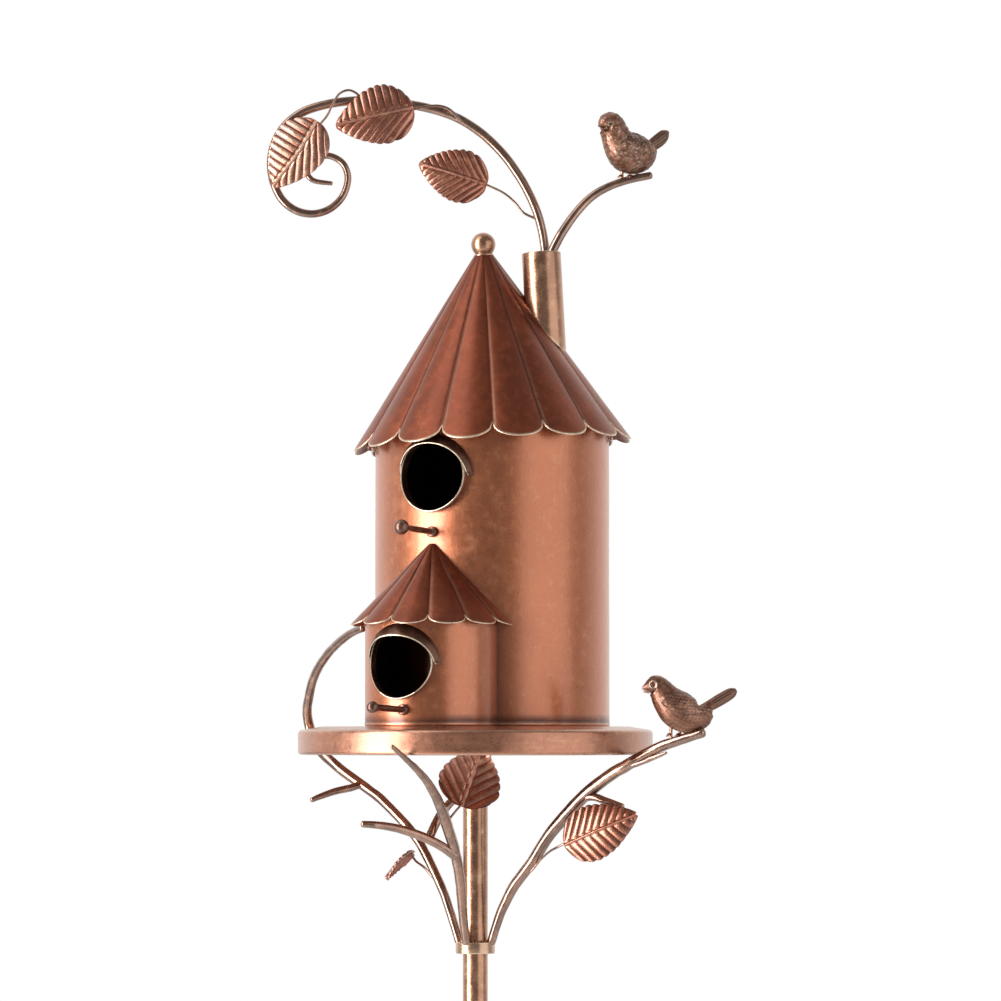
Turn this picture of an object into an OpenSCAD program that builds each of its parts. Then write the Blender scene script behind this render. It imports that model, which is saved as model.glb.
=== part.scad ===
// Two-storey sheet-metal birdhouse and seed tray on a sectional garden pole.
// Millimetres. Origin on the pole axis at soil level, +Z up, house fronts face -Y.

/* [Pole] */
// Height of the tray's top face above the soil
plate_z = 1000; // [900:10:1150]
// Outside diameter of the pole tube
pole_d = 16; // [14:0.5:17]
// Wall of the pole tube
pole_wall = 1; // [0.8:0.1:1.4]
// Length of each swaged spigot that slips into the tube below it
spigot_len = 55; // [40:1:70]
// Radial clearance of the spigots
spigot_gap = 0.05; // [0.02:0.01:0.1]

/* [Ground stake] */
// Diameter of the centre spike
spike_d = 12; // [10:0.5:13]
// Straight length of the centre spike below the soil
spike_len = 150; // [120:5:170]
// Distance of the side prongs from the pole axis
prong_r = 62; // [50:1:75]
// Diameter of the side prongs
prong_d = 8; // [6:0.5:9]

/* [Tray] */
// Radius of the tray
tray_r = 114; // [112:0.5:116]
// Depth of the tray's turned-down rim
tray_h = 18; // [17:0.5:19]

/* [Tall house] */
// Outside radius of the tall house
house_r = 76; // [75:0.5:76.5]
// How far the tall house sits behind the pole axis
house_y = 20.5; // [20:0.5:21]
// Sheet thickness of walls and roofs
sheet = 1; // [0.8:0.1:1.2]
// Outside radius of the upper entrance collar
hole_r = 23.5; // [22:0.5:24]
// Height of the tall house's entrance above the tray
hole_z = 158.5; // [157.5:0.5:161]

/* [Tall roof] */
// Radius of the tall roof's rim
roof_r = 89.5; // [88:0.5:90]
// Height of the roof's tip above the tray
roof_tip = 316; // [312:1:318]
// Height of the roof's rim above the tray
roof_rim = 185; // [183:1:187]
// Number of lobes round the tall roof
lobes = 16; // [12:1:20]
// Lean of the roof from level
roof_lean = 2.6; // [0:0.1:3]

/* [Small house] */
// Outside radius of the small house
porch_r = 42.5; // [41:0.5:43.5]
// Height of the small house's wall
porch_h = 70; // [66:1:70]
// Radius of the small roof's rim
porch_roof_r = 51; // [49:0.5:52]
// Height of the small entrance above the tray
porch_hole_z = 39; // [37:0.5:40]
// Outside radius of the lower entrance collar
porch_hole_r = 22.5; // [21:0.5:23]

/* [Hidden] */
$fn = 96;
va = 32;            // the bent arms lie in planes turned this far from the house front
copper = [0.62, 0.33, 0.22];
dark = [0.36, 0.22, 0.16];
light = [0.72, 0.46, 0.33];
bar_d = prong_d;
j1 = 380;           // height of the lower pole joint
j2 = 780;           // height of the upper pole joint
collar_z = -145;    // underside of the branch collar, below the tray top
roof_slope = (roof_tip - roof_rim + 4) / roof_r;
// wall height that leaves the leaning roof resting just clear of the wall's edge
house_h = roof_tip - house_r * roof_slope - sheet * sqrt(1 + roof_slope * roof_slope) - house_r * sin(roof_lean) - 0.1;
house_turn = 2;     // the tall house's front looks this far past -Y
porch_turn = 3;     // and the small house's
porch_x = 2.5;
porch_y = house_y - house_r;

// ---- vectors and sweeps ----
function unit(v) = v / norm(v);
// [across, depth, height above tray] in the turned plane -> model frame
function vp(p) = [p[0] * cos(va) - p[1] * sin(va), p[0] * sin(va) + p[1] * cos(va), p[2] + plate_z];
function vd(p) = [p[0] * cos(va) - p[1] * sin(va), p[0] * sin(va) + p[1] * cos(va), p[2]];
function vps(l) = [for (p = l) vp(p)];
// point at t on the Catmull-Rom span i of list p
function cr(p, i, t) = let (n = len(p) - 1, a = p[max(i - 1, 0)], b = p[i], c = p[min(i + 1, n)], d = p[min(i + 2, n)])
  0.5 * ((2 * b) + (c - a) * t + (2 * a - 5 * b + 4 * c - d) * t * t + (3 * b - a - 3 * c + d) * t * t * t);
function smooth_path(p, k) = concat([for (i = [0:len(p) - 2]) for (j = [0:k - 1]) cr(p, i, j / k)], [p[len(p) - 1]]);
// closed tube along path p, radius from r0 to r1 by way of rm in the middle
module tube(p, r0, rm, r1, ref, k = 2, sides = 10) {
  q = smooth_path(p, k);
  n = len(q) - 1;
  r = [for (i = [0:n]) let (t = i / n) t < 0.5 ? r0 + (rm - r0) * t * 2 : rm + (r1 - rm) * (t - 0.5) * 2];
  pts = [for (i = [0:n]) let (
      t = unit(q[min(i + 1, n)] - q[max(i - 1, 0)]),
      a = unit(cross(ref, t)), b = cross(t, a))
    for (s = [0:sides - 1]) q[i] + r[i] * (cos(360 * s / sides) * a + sin(360 * s / sides) * b)];
  faces = concat(
    [[for (s = [0:sides - 1]) s]],
    [for (i = [0:n - 1]) for (s = [0:sides - 1]) each [
      [i * sides + s, (i + 1) * sides + (s + 1) % sides, i * sides + (s + 1) % sides],
      [i * sides + s, (i + 1) * sides + s, (i + 1) * sides + (s + 1) % sides]]],
    [[for (s = [sides - 1:-1:0]) n * sides + s]]);
  polyhedron(points = pts, faces = faces, convexity = 6);
}
// leaf blade: base point, tip point, facing direction, greatest width, camber
function leaf_half(t, w) = w / 2 * pow(sin(180 * pow(t, 0.72)), 0.75);
module leaf(base, tip, face, w, camber = 4, th = 1.6) {
  l = norm(tip - base);
  x = unit(tip - base);
  y = unit(cross(face, x));
  z = cross(x, y);
  nu = 12; nv = 8;
  top = [for (i = [0:nu]) let (t = 0.02 + 0.96 * i / nu, h = max(leaf_half(t, w), 0.8)) for (j = [0:nv])
    let (s = 2 * j / nv - 1) base + x * t * l + y * s * h + z * (camber * (sin(180 * t) * 0.6 - 0.5 * s * s) + th / 2)];
  m = len(top);
  pts = concat(top, [for (p = top) p - z * th]);
  c = nv + 1;
  faces = concat(
    [for (i = [0:nu - 1]) for (j = [0:nv - 1]) each [
      [i * c + j, i * c + j + 1, (i + 1) * c + j + 1], [i * c + j, (i + 1) * c + j + 1, (i + 1) * c + j],
      [m + i * c + j, m + (i + 1) * c + j + 1, m + i * c + j + 1], [m + i * c + j, m + (i + 1) * c + j, m + (i + 1) * c + j + 1]]],
    [for (i = [0:nu - 1]) each [
      [i * c, (i + 1) * c, m + (i + 1) * c], [i * c, m + (i + 1) * c, m + i * c],
      [i * c + nv, m + (i + 1) * c + nv, (i + 1) * c + nv], [i * c + nv, m + i * c + nv, m + (i + 1) * c + nv]]],
    [for (j = [0:nv - 1]) each [
      [j, m + j + 1, j + 1], [j, m + j, m + j + 1],
      [nu * c + j, nu * c + j + 1, m + nu * c + j + 1], [nu * c + j, m + nu * c + j + 1, m + nu * c + j]]]);
  polyhedron(points = pts, faces = [for (f = faces) [f[0], f[2], f[1]]], convexity = 4);
}
// solid of rings [along, height, half height, half width] facing +x
module loft(rings, sides = 16) {
  n = len(rings) - 1;
  pts = [for (i = [0:n]) let (a = rings[max(i - 1, 0)], b = rings[min(i + 1, n)], g = unit([b[0] - a[0], 0, b[1] - a[1]]),
      up = [-g[2], 0, g[0]])
    for (s = [0:sides - 1]) [rings[i][0], 0, rings[i][1]] + up * rings[i][2] * cos(360 * s / sides) + [0, 1, 0] * rings[i][3] * sin(360 * s / sides)];
  faces = concat([[for (s = [sides - 1:-1:0]) s]],
    [for (i = [0:n - 1]) for (s = [0:sides - 1]) each [
      [i * sides + s, i * sides + (s + 1) % sides, (i + 1) * sides + (s + 1) % sides],
      [i * sides + s, (i + 1) * sides + (s + 1) % sides, (i + 1) * sides + s]]],
    [[for (s = [0:sides - 1]) n * sides + s]]);
  polyhedron(points = pts, faces = [for (f = faces) [for (i = [len(f) - 1:-1:0]) f[i]]], convexity = 4);
}
// fluted cone shell with a lobed rim, centred on z, from rim height to a small top ring
module fluted_cone(rim_r, rim_z, tip_z, top_r, n, drop, bulge, t, step) {
  slope = (tip_z - rim_z) / rim_r;
  nt = unit([1, 1 / slope]);   // outward normal in the radius-height plane
  m = n * step;
  function lobe(i) = let (f = 2 * (i % step) / step - 1) 1 - f * f;
  function rim_at(i) = drop * sqrt(max(0, lobe(i)));
  function ring(r, z, i) = [r * cos(360 * i / m), r * sin(360 * i / m), z];
  rr = rim_r - drop;
  pts = concat(
    [for (i = [0:m - 1]) ring(top_r, tip_z - top_r * slope, i)],
    [for (i = [0:m - 1]) let (r = rr + rim_at(i), b = bulge * lobe(i)) ring(r + b * nt[0], tip_z - r * slope + b * nt[1], i)],
    [for (i = [0:m - 1]) let (r = rr + rim_at(i), b = bulge * lobe(i) - t) ring(r + b * nt[0], tip_z - r * slope + b * nt[1], i)],
    [for (i = [0:m - 1]) ring(top_r - t * nt[0], tip_z - top_r * slope - t * nt[1], i)]);
  faces = [for (k = [0:3]) for (i = [0:m - 1]) let (a = k * m, b = ((k + 1) % 4) * m, j = (i + 1) % m) each
    [[a + i, a + j, b + j], [a + i, b + j, b + i]]];
  polyhedron(points = pts, faces = faces, convexity = 8);
}
module tilt_roof() translate([0, house_y, plate_z + roof_rim]) rotate(-roof_lean, [-sin(va), cos(va), 0]) translate([0, -house_y, -plate_z - roof_rim]) children();

// ---- ground stake and pole ----
module centre_spike() color(dark) rotate_extrude() polygon([[0, -spike_len - 38], [1.2, -spike_len - 36], [spike_d / 2, -spike_len], [spike_d / 2, 12], [pole_d / 2 - pole_wall, 12], [pole_d / 2 - pole_wall, 45], [0, 45]]);
module prong(a) color(dark) rotate([0, 0, a]) {
  b = 22; zt = 30;
  difference() {
    translate([pole_d / 2 - 1, 0, zt]) rotate([0, 90, 0]) cylinder(d = prong_d, h = prong_r - b - pole_d / 2 + 1);
    translate([0, 0, zt - 20]) cylinder(d = pole_d - 0.4, h = 40);
  }
  translate([prong_r - b, 0, zt - b]) rotate([90, 0, 0]) rotate_extrude(angle = 90) translate([b, 0]) circle(d = prong_d);
  translate([prong_r, 0, -spike_len + 20]) cylinder(d = prong_d, h = spike_len - 20 + zt - b);
  translate([prong_r, 0, -spike_len - 10]) cylinder(d1 = 1.6, d2 = prong_d, h = 30);
}
module prong_front() prong(-90);
module prong_back() prong(90);
module prong_left() prong(180);
module prong_right() prong(0);
module pole_lower() color(copper) rotate_extrude() polygon([[pole_d / 2 - pole_wall, 12], [pole_d / 2, 12], [pole_d / 2, j1], [pole_d / 2 - pole_wall, j1]]);
// tube with a swaged spigot at its lower end
module section(z0, z1) {
  ro = pole_d / 2; ri = ro - pole_wall; rs = ri - spigot_gap;
  rotate_extrude() polygon([[rs - pole_wall, z0 - spigot_len], [rs - 1, z0 - spigot_len], [rs, z0 - spigot_len + 1], [rs, z0], [ro, z0], [ro, z1], [ri, z1], [ri, z0 + 6], [rs - pole_wall, z0 + 3]]);
}
module pole_middle() color(copper) section(j1, j2);
module pole_upper() color(copper) section(j2, plate_z - sheet - 3);
module tray_socket() color(dark) translate([0, 0, plate_z - sheet - 28]) {
  difference() {
    union() { translate([0, 0, 25]) cylinder(r = 30, h = 3); cylinder(r = pole_d / 2 + 2.2, h = 25); }
    translate([0, 0, -1]) cylinder(r = pole_d / 2 + 0.05, h = 26);
    for (a = [45:90:315]) rotate([0, 0, a]) translate([22, 0, 20]) cylinder(r = 2.2, h = 12);
  }
}
module tray_screws() color(light) for (a = [45:90:315]) rotate([0, 0, a]) translate([22, 0, plate_z]) {
  translate([0, 0, -sheet - 8]) cylinder(r = 2, h = 8 + sheet);
  rotate_extrude() polygon([[0, 0], [4, 0], [3.6, 1.2], [2.2, 2.1], [0, 2.4]]);
  translate([0, 0, -sheet - 6.4]) cylinder(r = 4, h = 3.2, $fn = 6);
}
module branch_collar() color(copper) translate([0, 0, plate_z + collar_z]) difference() {
  cylinder(r = 12.6, h = 7.5);
  translate([0, 0, -1]) cylinder(r = pole_d / 2 + 0.05, h = 12);
}

// ---- branches ----
left_pts = [[-10.4, 4.8, -137.5], [-16.5, 10, -118], [-22, 14, -103], [-33, 21, -80.5], [-42, 26, -67], [-58, 36, -50.5], [-67, 42, -43], [-85, 54, -30.5], [-95, 61.5, -22.5], [-101, 67, -17], [-106, 71, -9], [-109.5, 72, 0],
  [-111, 68, 10], [-109.6, 61, 19], [-106.6, 50, 30], [-101.4, 37, 40], [-93.6, 22, 49.6], [-84.5, 5, 57], [-77.8, -6, 60.8], [-72, -15.3, 62.8]];
front_pts = [[-5.8, -9.9, -137.5], [-7.5, -15, -124], [-8.6, -20, -110], [-10, -27, -95], [-13, -35, -79], [-17, -46, -65], [-20.5, -57, -54], [-24.6, -69, -44], [-30, -82, -34.5], [-36, -96, -27], [-42.5, -108, -20.5], [-51, -119, -12.5]];
right_pts = [[10.2, -5.2, -137.5], [15.7, -9.4, -120], [19.8, -12, -111], [25, -15, -101], [36, -22, -86], [46, -28, -70], [54.5, -33, -59.5], [69.5, -43, -43], [85, -54, -30.5], [94, -60, -25], [103, -64.5, -19.5], [115, -71.5, -13], [128, -78, -8.3], [141, -84.5, -4]];
module branch_left() color(copper) tube(vps(left_pts), 2.9, 3.6, 2.6, vd([0, 1, 0]), 2, 10);
module branch_front() color(dark) tube(vps(front_pts), 2.9, 3.8, 1.4, vd([1, 0, 0]), 2, 10);
module branch_right() color(copper) tube(vps(right_pts), 2.9, 4.3, 3.2, vd([0, 1, 0]), 2, 10);
module twig_left() color(light) tube(vps([[-74, 47, -37], [-80, 43, -39.5], [-91, 38, -42], [-100, 34, -45], [-106, 30, -47.5]]), 2.6, 2.4, 1.8, vd([0, 1, 0]), 2, 8);
module twig_front_low() color(dark) tube(vps([[-13, -36, -81.5], [-21.5, -39, -75.5], [-30, -42, -71], [-41, -46, -66.5], [-52, -50, -63.5], [-63, -54, -61.8], [-70.5, -56, -61.3]]), 3.2, 3, 2.2, vd([0, 1, 0]), 2, 8);
module twig_front_back() color(dark) tube(vps([[-29, -38, -70], [-22.6, -34, -56.7], [-16.5, -33, -49], [-10, -33, -42.5]]), 3, 3, 2.4, vd([0, 1, 0]), 2, 8);
module twig_right() color(light) tube(vps([[66, -41, -45.3], [74.5, -47, -44.5], [83, -51, -47.3], [92, -55, -50.5]]), 2.7, 2.6, 2.4, vd([0, 1, 0]), 2, 8);
module twig_right_tip() color(light) tube(vps([[95, -61, -25.5], [107.5, -69, -21], [119, -76, -16.5]]), 2.2, 1.9, 0.9, vd([0, 1, 0]), 3, 8);

// ---- tray ----
module tray() color(copper) translate([0, 0, plate_z]) difference() {
  rotate_extrude($fn = 128) polygon(concat(
    [[0, 0], [98.5, 0]], [for (a = [90:-15:0]) [tray_r - 3 + 3 * cos(a), -5 + 3 * sin(a)]],
    [for (a = [0:-15:-90]) [tray_r - 3 + 3 * cos(a), -tray_h + 3 + 3 * sin(a)]],
    [[tray_r - 4, -tray_h]], [for (a = [-90:15:0]) [tray_r - 3.2 + 2 * cos(a), -tray_h + 3 + 2 * sin(a)]],
    [for (a = [0:15:90]) [tray_r - 3.2 + 2 * cos(a), -5.2 + 2.2 * sin(a)]], [[98.5, -sheet], [0, -sheet]]));
  for (a = [45:90:315]) rotate([0, 0, a]) translate([22, 0, -4]) cylinder(r = 2.1, h = 8);
}

// ---- tall house ----
module on_house() translate([0, house_y, plate_z]) rotate([0, 0, house_turn]) children();
module on_porch() translate([porch_x, porch_y, plate_z]) rotate([0, 0, porch_turn]) children();
// everything inside the tall house's wall line
module house_core(gap) translate([0, house_y, plate_z - 5]) cylinder(r = house_r + gap, h = 240, $fn = 128);
// entrance tube through a wall of radius wr, its lip following the wall
module entrance(wr, r, z, out) translate([0, 0, z]) difference() {
  intersection() {
    rotate([90, 0, 0]) difference() {
      cylinder(r = r, h = wr + 40);
      translate([0, 0, -1]) cylinder(r = r - 1.2, h = wr + 42);
    }
    translate([0, 0, -50]) cylinder(r = wr + out, h = 100, $fn = 128);
  }
  translate([0, 0, -50]) cylinder(r = wr - 3.2, h = 100, $fn = 128);
}
// point on the hood: a = angle from straight up, f = 0 at the wall to 1 at the lip
function hood_r(a, f, rb, rf) = let (lip = rf + (rb - rf - 1.5) * sin(a) * sin(a)) rb + (lip - rb) * f + 1.2 * sin(180 * f);
function hood_p(a, f, p) = -0.6 + f * (1.4 + p * pow(max(cos(a), 0.0001), 0.45));
function hood_pt(a, f, wr, rb, rf, p, off) = let (r = hood_r(a, f, rb, rf) + off, x = r * sin(a)) [x, -sqrt(wr * wr - x * x) - hood_p(a, f, p), r * cos(a)];
module hood(wr, z, rb, rf, p) translate([0, 0, z]) {
  na = 24; nf = 4; c = nf + 1;
  outer = [for (i = [0:na]) for (j = [0:nf]) hood_pt(-92 + 184 * i / na, j / nf, wr, rb, rf, p, 0.6)];
  m = len(outer);
  pts = concat(outer, [for (i = [0:na]) for (j = [0:nf]) hood_pt(-92 + 184 * i / na, j / nf, wr, rb, rf, p, -0.6)]);
  faces = concat(
    [for (i = [0:na - 1]) for (j = [0:nf - 1]) let (k = i * c + j) each [
      [k, k + 1, k + c + 1], [k, k + c + 1, k + c], [m + k, m + k + c + 1, m + k + 1], [m + k, m + k + c, m + k + c + 1]]],
    [for (i = [0:na - 1]) let (k = i * c, l = i * c + nf) each [
      [k, k + c, m + k + c], [k, m + k + c, m + k], [l, m + l + c, l + c], [l, m + l, m + l + c]]],
    [for (j = [0:nf - 1]) let (k = na * c + j) each [
      [j, m + j + 1, j + 1], [j, m + j, m + j + 1], [k, k + 1, m + k + 1], [k, m + k + 1, m + k]]]);
  polyhedron(points = pts, faces = [for (f = faces) [f[0], f[2], f[1]]], convexity = 6);
}
module perch(wr, z, len, knob, off = 0) color(dark) translate([off, off * off / 2 / wr - wr, z]) rotate([88, 0, 0]) {
  translate([0, 0, -5]) cylinder(r = 2.1, h = len + 5);
  translate([0, 0, 0.4]) cylinder(r = 3.4, h = 2);
  translate([0, 0, len]) sphere(r = knob);
}
perch_z = hole_z - hole_r - 12.3;
porch_perch_z = porch_hole_z - porch_hole_r - 6.3;
module tall_wall() color(copper) difference() {
  translate([0, house_y, plate_z + 0.1]) difference() {
    cylinder(r = house_r, h = house_h, $fn = 128);
    translate([0, 0, -1]) cylinder(r = house_r - sheet, h = house_h + 2, $fn = 128);
  }
  on_house() {
    translate([0, 0, hole_z]) rotate([90, 0, 0]) cylinder(r = hole_r + 0.1, h = house_r + 20);
    translate([0, 0, perch_z]) rotate([90, 0, 0]) cylinder(r = 2.4, h = house_r + 20);
  }
}
module tall_collar() color(light) on_house() entrance(house_r, hole_r, hole_z, 4.5);
module tall_hood() color(dark) on_house() hood(house_r, hole_z, hole_r + 2.2, hole_r - 3.2, 7.4);
module tall_perch() on_house() perch(house_r, perch_z, 38, 4.8);

// ---- small house ----
module small_wall() color(copper) difference() {
  translate([porch_x, porch_y, plate_z + 0.1]) difference() {
    cylinder(r = porch_r, h = porch_h, $fn = 96);
    translate([0, 0, -1]) cylinder(r = porch_r - sheet, h = porch_h + 2, $fn = 96);
  }
  house_core(0.1);
  on_porch() {
    translate([0, 0, porch_hole_z]) rotate([90, 0, 0]) cylinder(r = porch_hole_r + 0.1, h = porch_r + 20);
    translate([3.6, 0, porch_perch_z]) rotate([90, 0, 0]) cylinder(r = 2.4, h = porch_r + 20);
  }
}
module small_roof() color(copper) difference() {
  translate([porch_x, porch_y, plate_z]) rotate([0, 0, -0.7]) fluted_cone(porch_roof_r, porch_h - 7, porch_h + 47.5, 2, 12, 6, 1.6, sheet, 8);
  house_core(0.2);
}
module small_collar() color(light) on_porch() entrance(porch_r, porch_hole_r, porch_hole_z, 3);
module small_hood() color(dark) on_porch() hood(porch_r, porch_hole_z, porch_hole_r + 2.2, porch_hole_r - 5, 7);
module small_perch() on_porch() perch(porch_r, porch_perch_z, 38, 3.7, 3.6);

// ---- leaves and stems under the tray ----
module leaf_under_tray() color(copper) leaf(vp([-9, -48, -51]), vp([4.5, -46, -13]), vd([0.05, -1, 0]), 41, -4);
module stem_under_tray() color(light) tube(vps([[-16.5, -46, -66], [-17.5, -52, -60.5], [-13, -52, -54], [-8.2, -48.2, -48.6]]), 0.9, 0.8, 0.8, vd([0, 1, 0]), 3, 6);
module leaf_left() color(copper) leaf(vp([-40, 28, -81]), vp([-58, 18, -98]), vd([-0.62, 0.2, 0.6]), 24, 3);
module stem_left() color(light) tube(vps([[-27.5, 18, -97], [-33, 23, -91], [-38.5, 27, -87], [-41.6, 27.2, -82.4]]), 0.9, 0.8, 0.8, vd([0, 1, 0]), 3, 6);
module leaf_right() color(copper) leaf(vp([55.5, -47, -75]), vp([101, -66, -54.5]), vd([-0.2, -1, 0.1]), 36, 4);
module stem_right() color(light) tube(vps([[29.2, -18, -96], [35.6, -22, -91.5], [41.2, -28, -84.5], [47, -36, -79], [52, -43, -76], [59, -48.1, -72.3]]), 0.9, 0.8, 0.8, vd([0, 1, 0]), 2, 6);

// ---- tall roof and what stands on it ----
module tall_roof() color(copper) tilt_roof() translate([0, house_y, plate_z]) rotate([0, 0, 9.5]) fluted_cone(roof_r, roof_rim - 4, roof_tip, 6, lobes, 7, 1.7, sheet, 10);
module finial() color(light) tilt_roof() translate([0, house_y, plate_z + roof_tip]) {
  translate([0, 0, -2.6]) sphere(r = 8);
  rotate_extrude() polygon([[0, -14], [3.6, -14], [3.6, -11.2], [6.6, -11.2], [6.6, -9], [5.2, -7.8], [0, -7.6]]);
}
// plain cone d outside the valleys of the tall roof's outer skin
module roof_cone(d) { z0 = roof_rim - 40; e = d * sqrt(1 + roof_slope * roof_slope) / roof_slope;
  translate([0, house_y, plate_z + z0]) cylinder(r1 = (roof_tip - z0) / roof_slope + e, r2 = 4 / roof_slope + e, h = roof_tip - z0 - 4); }
// two riveted lugs that grip the outside of the tall wall
module roof_clips() color(dark) tilt_roof() difference() {
  translate([0, house_y, plate_z + roof_rim]) for (a = [va, va + 180]) rotate([0, 0, a]) {
    translate([house_r + 0.9, -5, -3]) cube([1.4, 10, 22]);
    translate([house_r + 1.5, 0, 0.4]) rotate([0, 90, 0]) cylinder(r = 3.2, h = 4, $fn = 48);
  }
  difference() {
    translate([0, house_y, plate_z + roof_rim]) cylinder(r = 100, h = 60);
    roof_cone(-sheet * 0.6);
  }
}
chim_top = [42.6, 9.2, 307];
chim_foot = [46.8, 9.2, 230];
module along(a, b) { d = b - a; translate(a) rotate([0, acos(d[2] / norm(d)), atan2(d[1], d[0])]) children(); }
module chimney() color(light) difference() {
  along(vp(chim_foot), vp(chim_top)) difference() {
    cylinder(r = 12.7, h = norm(chim_top - chim_foot));
    translate([0, 0, -1]) cylinder(r = 11.5, h = 90);
  }
  tilt_roof() roof_cone(0.6);
}
module chimney_cap() color(dark) along(vp(chim_foot), vp(chim_top)) translate([0, 0, norm(chim_top - chim_foot) - 5]) cylinder(r = 11.55, h = 2);
scroll_pts = [[45.6, 16, 303.2], [45.1, 16, 311], [43.2, 16.2, 322.8], [39.9, 16, 334.5], [34.7, 17, 346.8], [28.2, 17.4, 358.5], [18.5, 17.4, 372], [5.5, 17.4, 385], [-8.8, 17.4, 394.8], [-23, 17.4, 400.7], [-39.3, 17.4, 404.6], [-58.8, 17.4, 407.2], [-78.2, 17.4, 407.8], [-97.7, 17.4, 405.2], [-114, 17.4, 399.5], [-126, 17.4, 389], [-132.5, 17.4, 374.7], [-132.8, 17.4, 359], [-127.6, 17.4, 345], [-118.5, 17.4, 336.4], [-106.8, 17.4, 333.4], [-95.5, 17.4, 336.4], [-86.7, 17.4, 344.8], [-83.2, 17.4, 356.5], [-86.5, 17.4, 366.5], [-95.5, 17.4, 371.5], [-105.5, 17.4, 369.5], [-110.2, 17.4, 362.5], [-106, 17.4, 355.5], [-94, 17.4, 353.4]];
module scroll_arm() color(copper) tube(vps(scroll_pts), 3.1, 3.1, 2, vd([0, 1, 0]), 2, 8);
module bird_arm() color(copper) tube(vps([[48, 9.4, 303.2], [51.2, 9.2, 311], [57, 9.2, 321.5], [65.5, 9.5, 333.5], [75, 10.5, 343.5], [85.5, 11, 350], [98, 11.5, 354.6], [113.6, 12, 358]]), 3.4, 3, 2.5, vd([0, 1, 0]), 3, 10);
module leaf_scroll_end() color(copper) leaf(vp([-102.8, 9, 393.6]), vp([-132, 8.4, 349.5]), vd([-0.3, -1, 0.05]), 40, 3);
module stem_scroll_end() color(light) tube(vps([[-74.5, 15.4, 406.2], [-76.4, 14.6, 411], [-82.4, 13.6, 414], [-88.6, 13, 411.7], [-92.6, 12, 405.4], [-96.8, 10.8, 396.6], [-102.6, 9.6, 389.6]]), 0.9, 0.8, 0.8, vd([0, 1, 0]), 2, 6);
module leaf_scroll_top() color(copper) leaf(vp([-40, 10.2, 402.3]), vp([-91.5, 8.6, 390]), vd([0.05, -1, 0.15]), 41, 4);
module stem_scroll_top() color(light) tube(vps([[-9.8, 15, 394.2], [-16.6, 13.4, 400.8], [-23, 12.4, 403.3], [-31, 11.2, 403], [-43.5, 10.3, 400.3]]), 1.3, 1.1, 0.9, vd([0, 1, 0]), 2, 6);
module leaf_scroll_low() color(copper) leaf(vp([8, 17, 352.4]), vp([-37.3, 15, 366.6]), vd([-0.05, -1, 0.05]), 36, 4);
module stem_scroll_low() color(light) tube(vps([[39.8, 15.6, 330], [31.5, 16.4, 334], [25.6, 17, 341], [17.9, 17, 347.4], [5.6, 17, 353.2]]), 0.9, 0.8, 0.8, vd([0, 1, 0]), 2, 6);

// ---- birds: rings [forward, height, half height, half width] ----
lower_rings = [[-14.5, 0.2, 2.2, 2.2], [-12.9, -0.3, 4.4, 4.4], [-10.1, -2.5, 6.6, 6.4], [-7.3, -4.1, 8.4, 8], [-3.2, -4.7, 10.2, 9.6], [2.2, -3.1, 11.8, 11], [8.5, 1.2, 12.2, 11.2], [13.8, 6.5, 10, 9.6], [17.9, 12, 8, 7.8], [21.1, 14.9, 6.9, 6.8], [24.5, 14.6, 5, 5.2], [27, 14, 2.8, 3], [30, 13.2, 0.5, 0.6]];
upper_rings = [[-17.6, 6, 3.2, 3.4], [-15.4, 4, 7.6, 7.6], [-10.4, 1.6, 11.6, 11.2], [-4, 0.1, 13.6, 12.8], [2, 0.6, 13.8, 13], [7, 3.6, 12.4, 11.8], [11, 8.4, 10.4, 10.2], [13.6, 13, 9.4, 9.2], [16, 16.8, 8.8, 8.8], [19.6, 18, 7.2, 7.4], [22.8, 17.4, 4.4, 4.8], [24.8, 16.4, 2, 2.4], [27, 15, 0.5, 0.7]];
lower_tail_rings = [[-5.5, -1.4, 3, 2.4], [-13.2, 2.4, 3.6, 2.7], [-20.8, 6.7, 3.9, 2.8], [-27.1, 10.4, 3.4, 2.6], [-30, 12.2, 1.4, 1.4]];
upper_tail_rings = [[-10, 2, 3, 2.4], [-17.4, 6.2, 4.1, 2.8], [-24.6, 10.8, 4.7, 3], [-29.4, 14.6, 4, 2.8], [-32.2, 17, 1.6, 1.5]];
// head towards -across; yaw turns the bird towards the front
module put_bird(at, yaw, pitch) translate(vp(at)) rotate([0, 0, va + 180 + yaw]) rotate([0, pitch, 0]) children();
lower_at = [133, -80, 10.4];
upper_at = [100.5, 11, 372.4];
module bird_lower() color(dark) put_bird(lower_at, 8, 0) loft(lower_rings);
module bird_lower_tail() color(dark) put_bird(lower_at, 8, 0) loft(lower_tail_rings, 12);
module feet(at, l) color(light) for (s = [-2.8, 2.8]) translate(vp(at)) rotate([0, 0, va]) translate([s, 0, 0]) cylinder(r = 1, h = l);
module bird_lower_feet() feet([124.8, -76.6, -8.6], 10);
module bird_upper() color(dark) put_bird(upper_at, 38, 0) loft(upper_rings);
module bird_upper_tail() color(dark) put_bird(upper_at, 38, 0) loft(upper_tail_rings, 12);
module bird_upper_feet() feet([98.2, 11.4, 355], 7);

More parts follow.
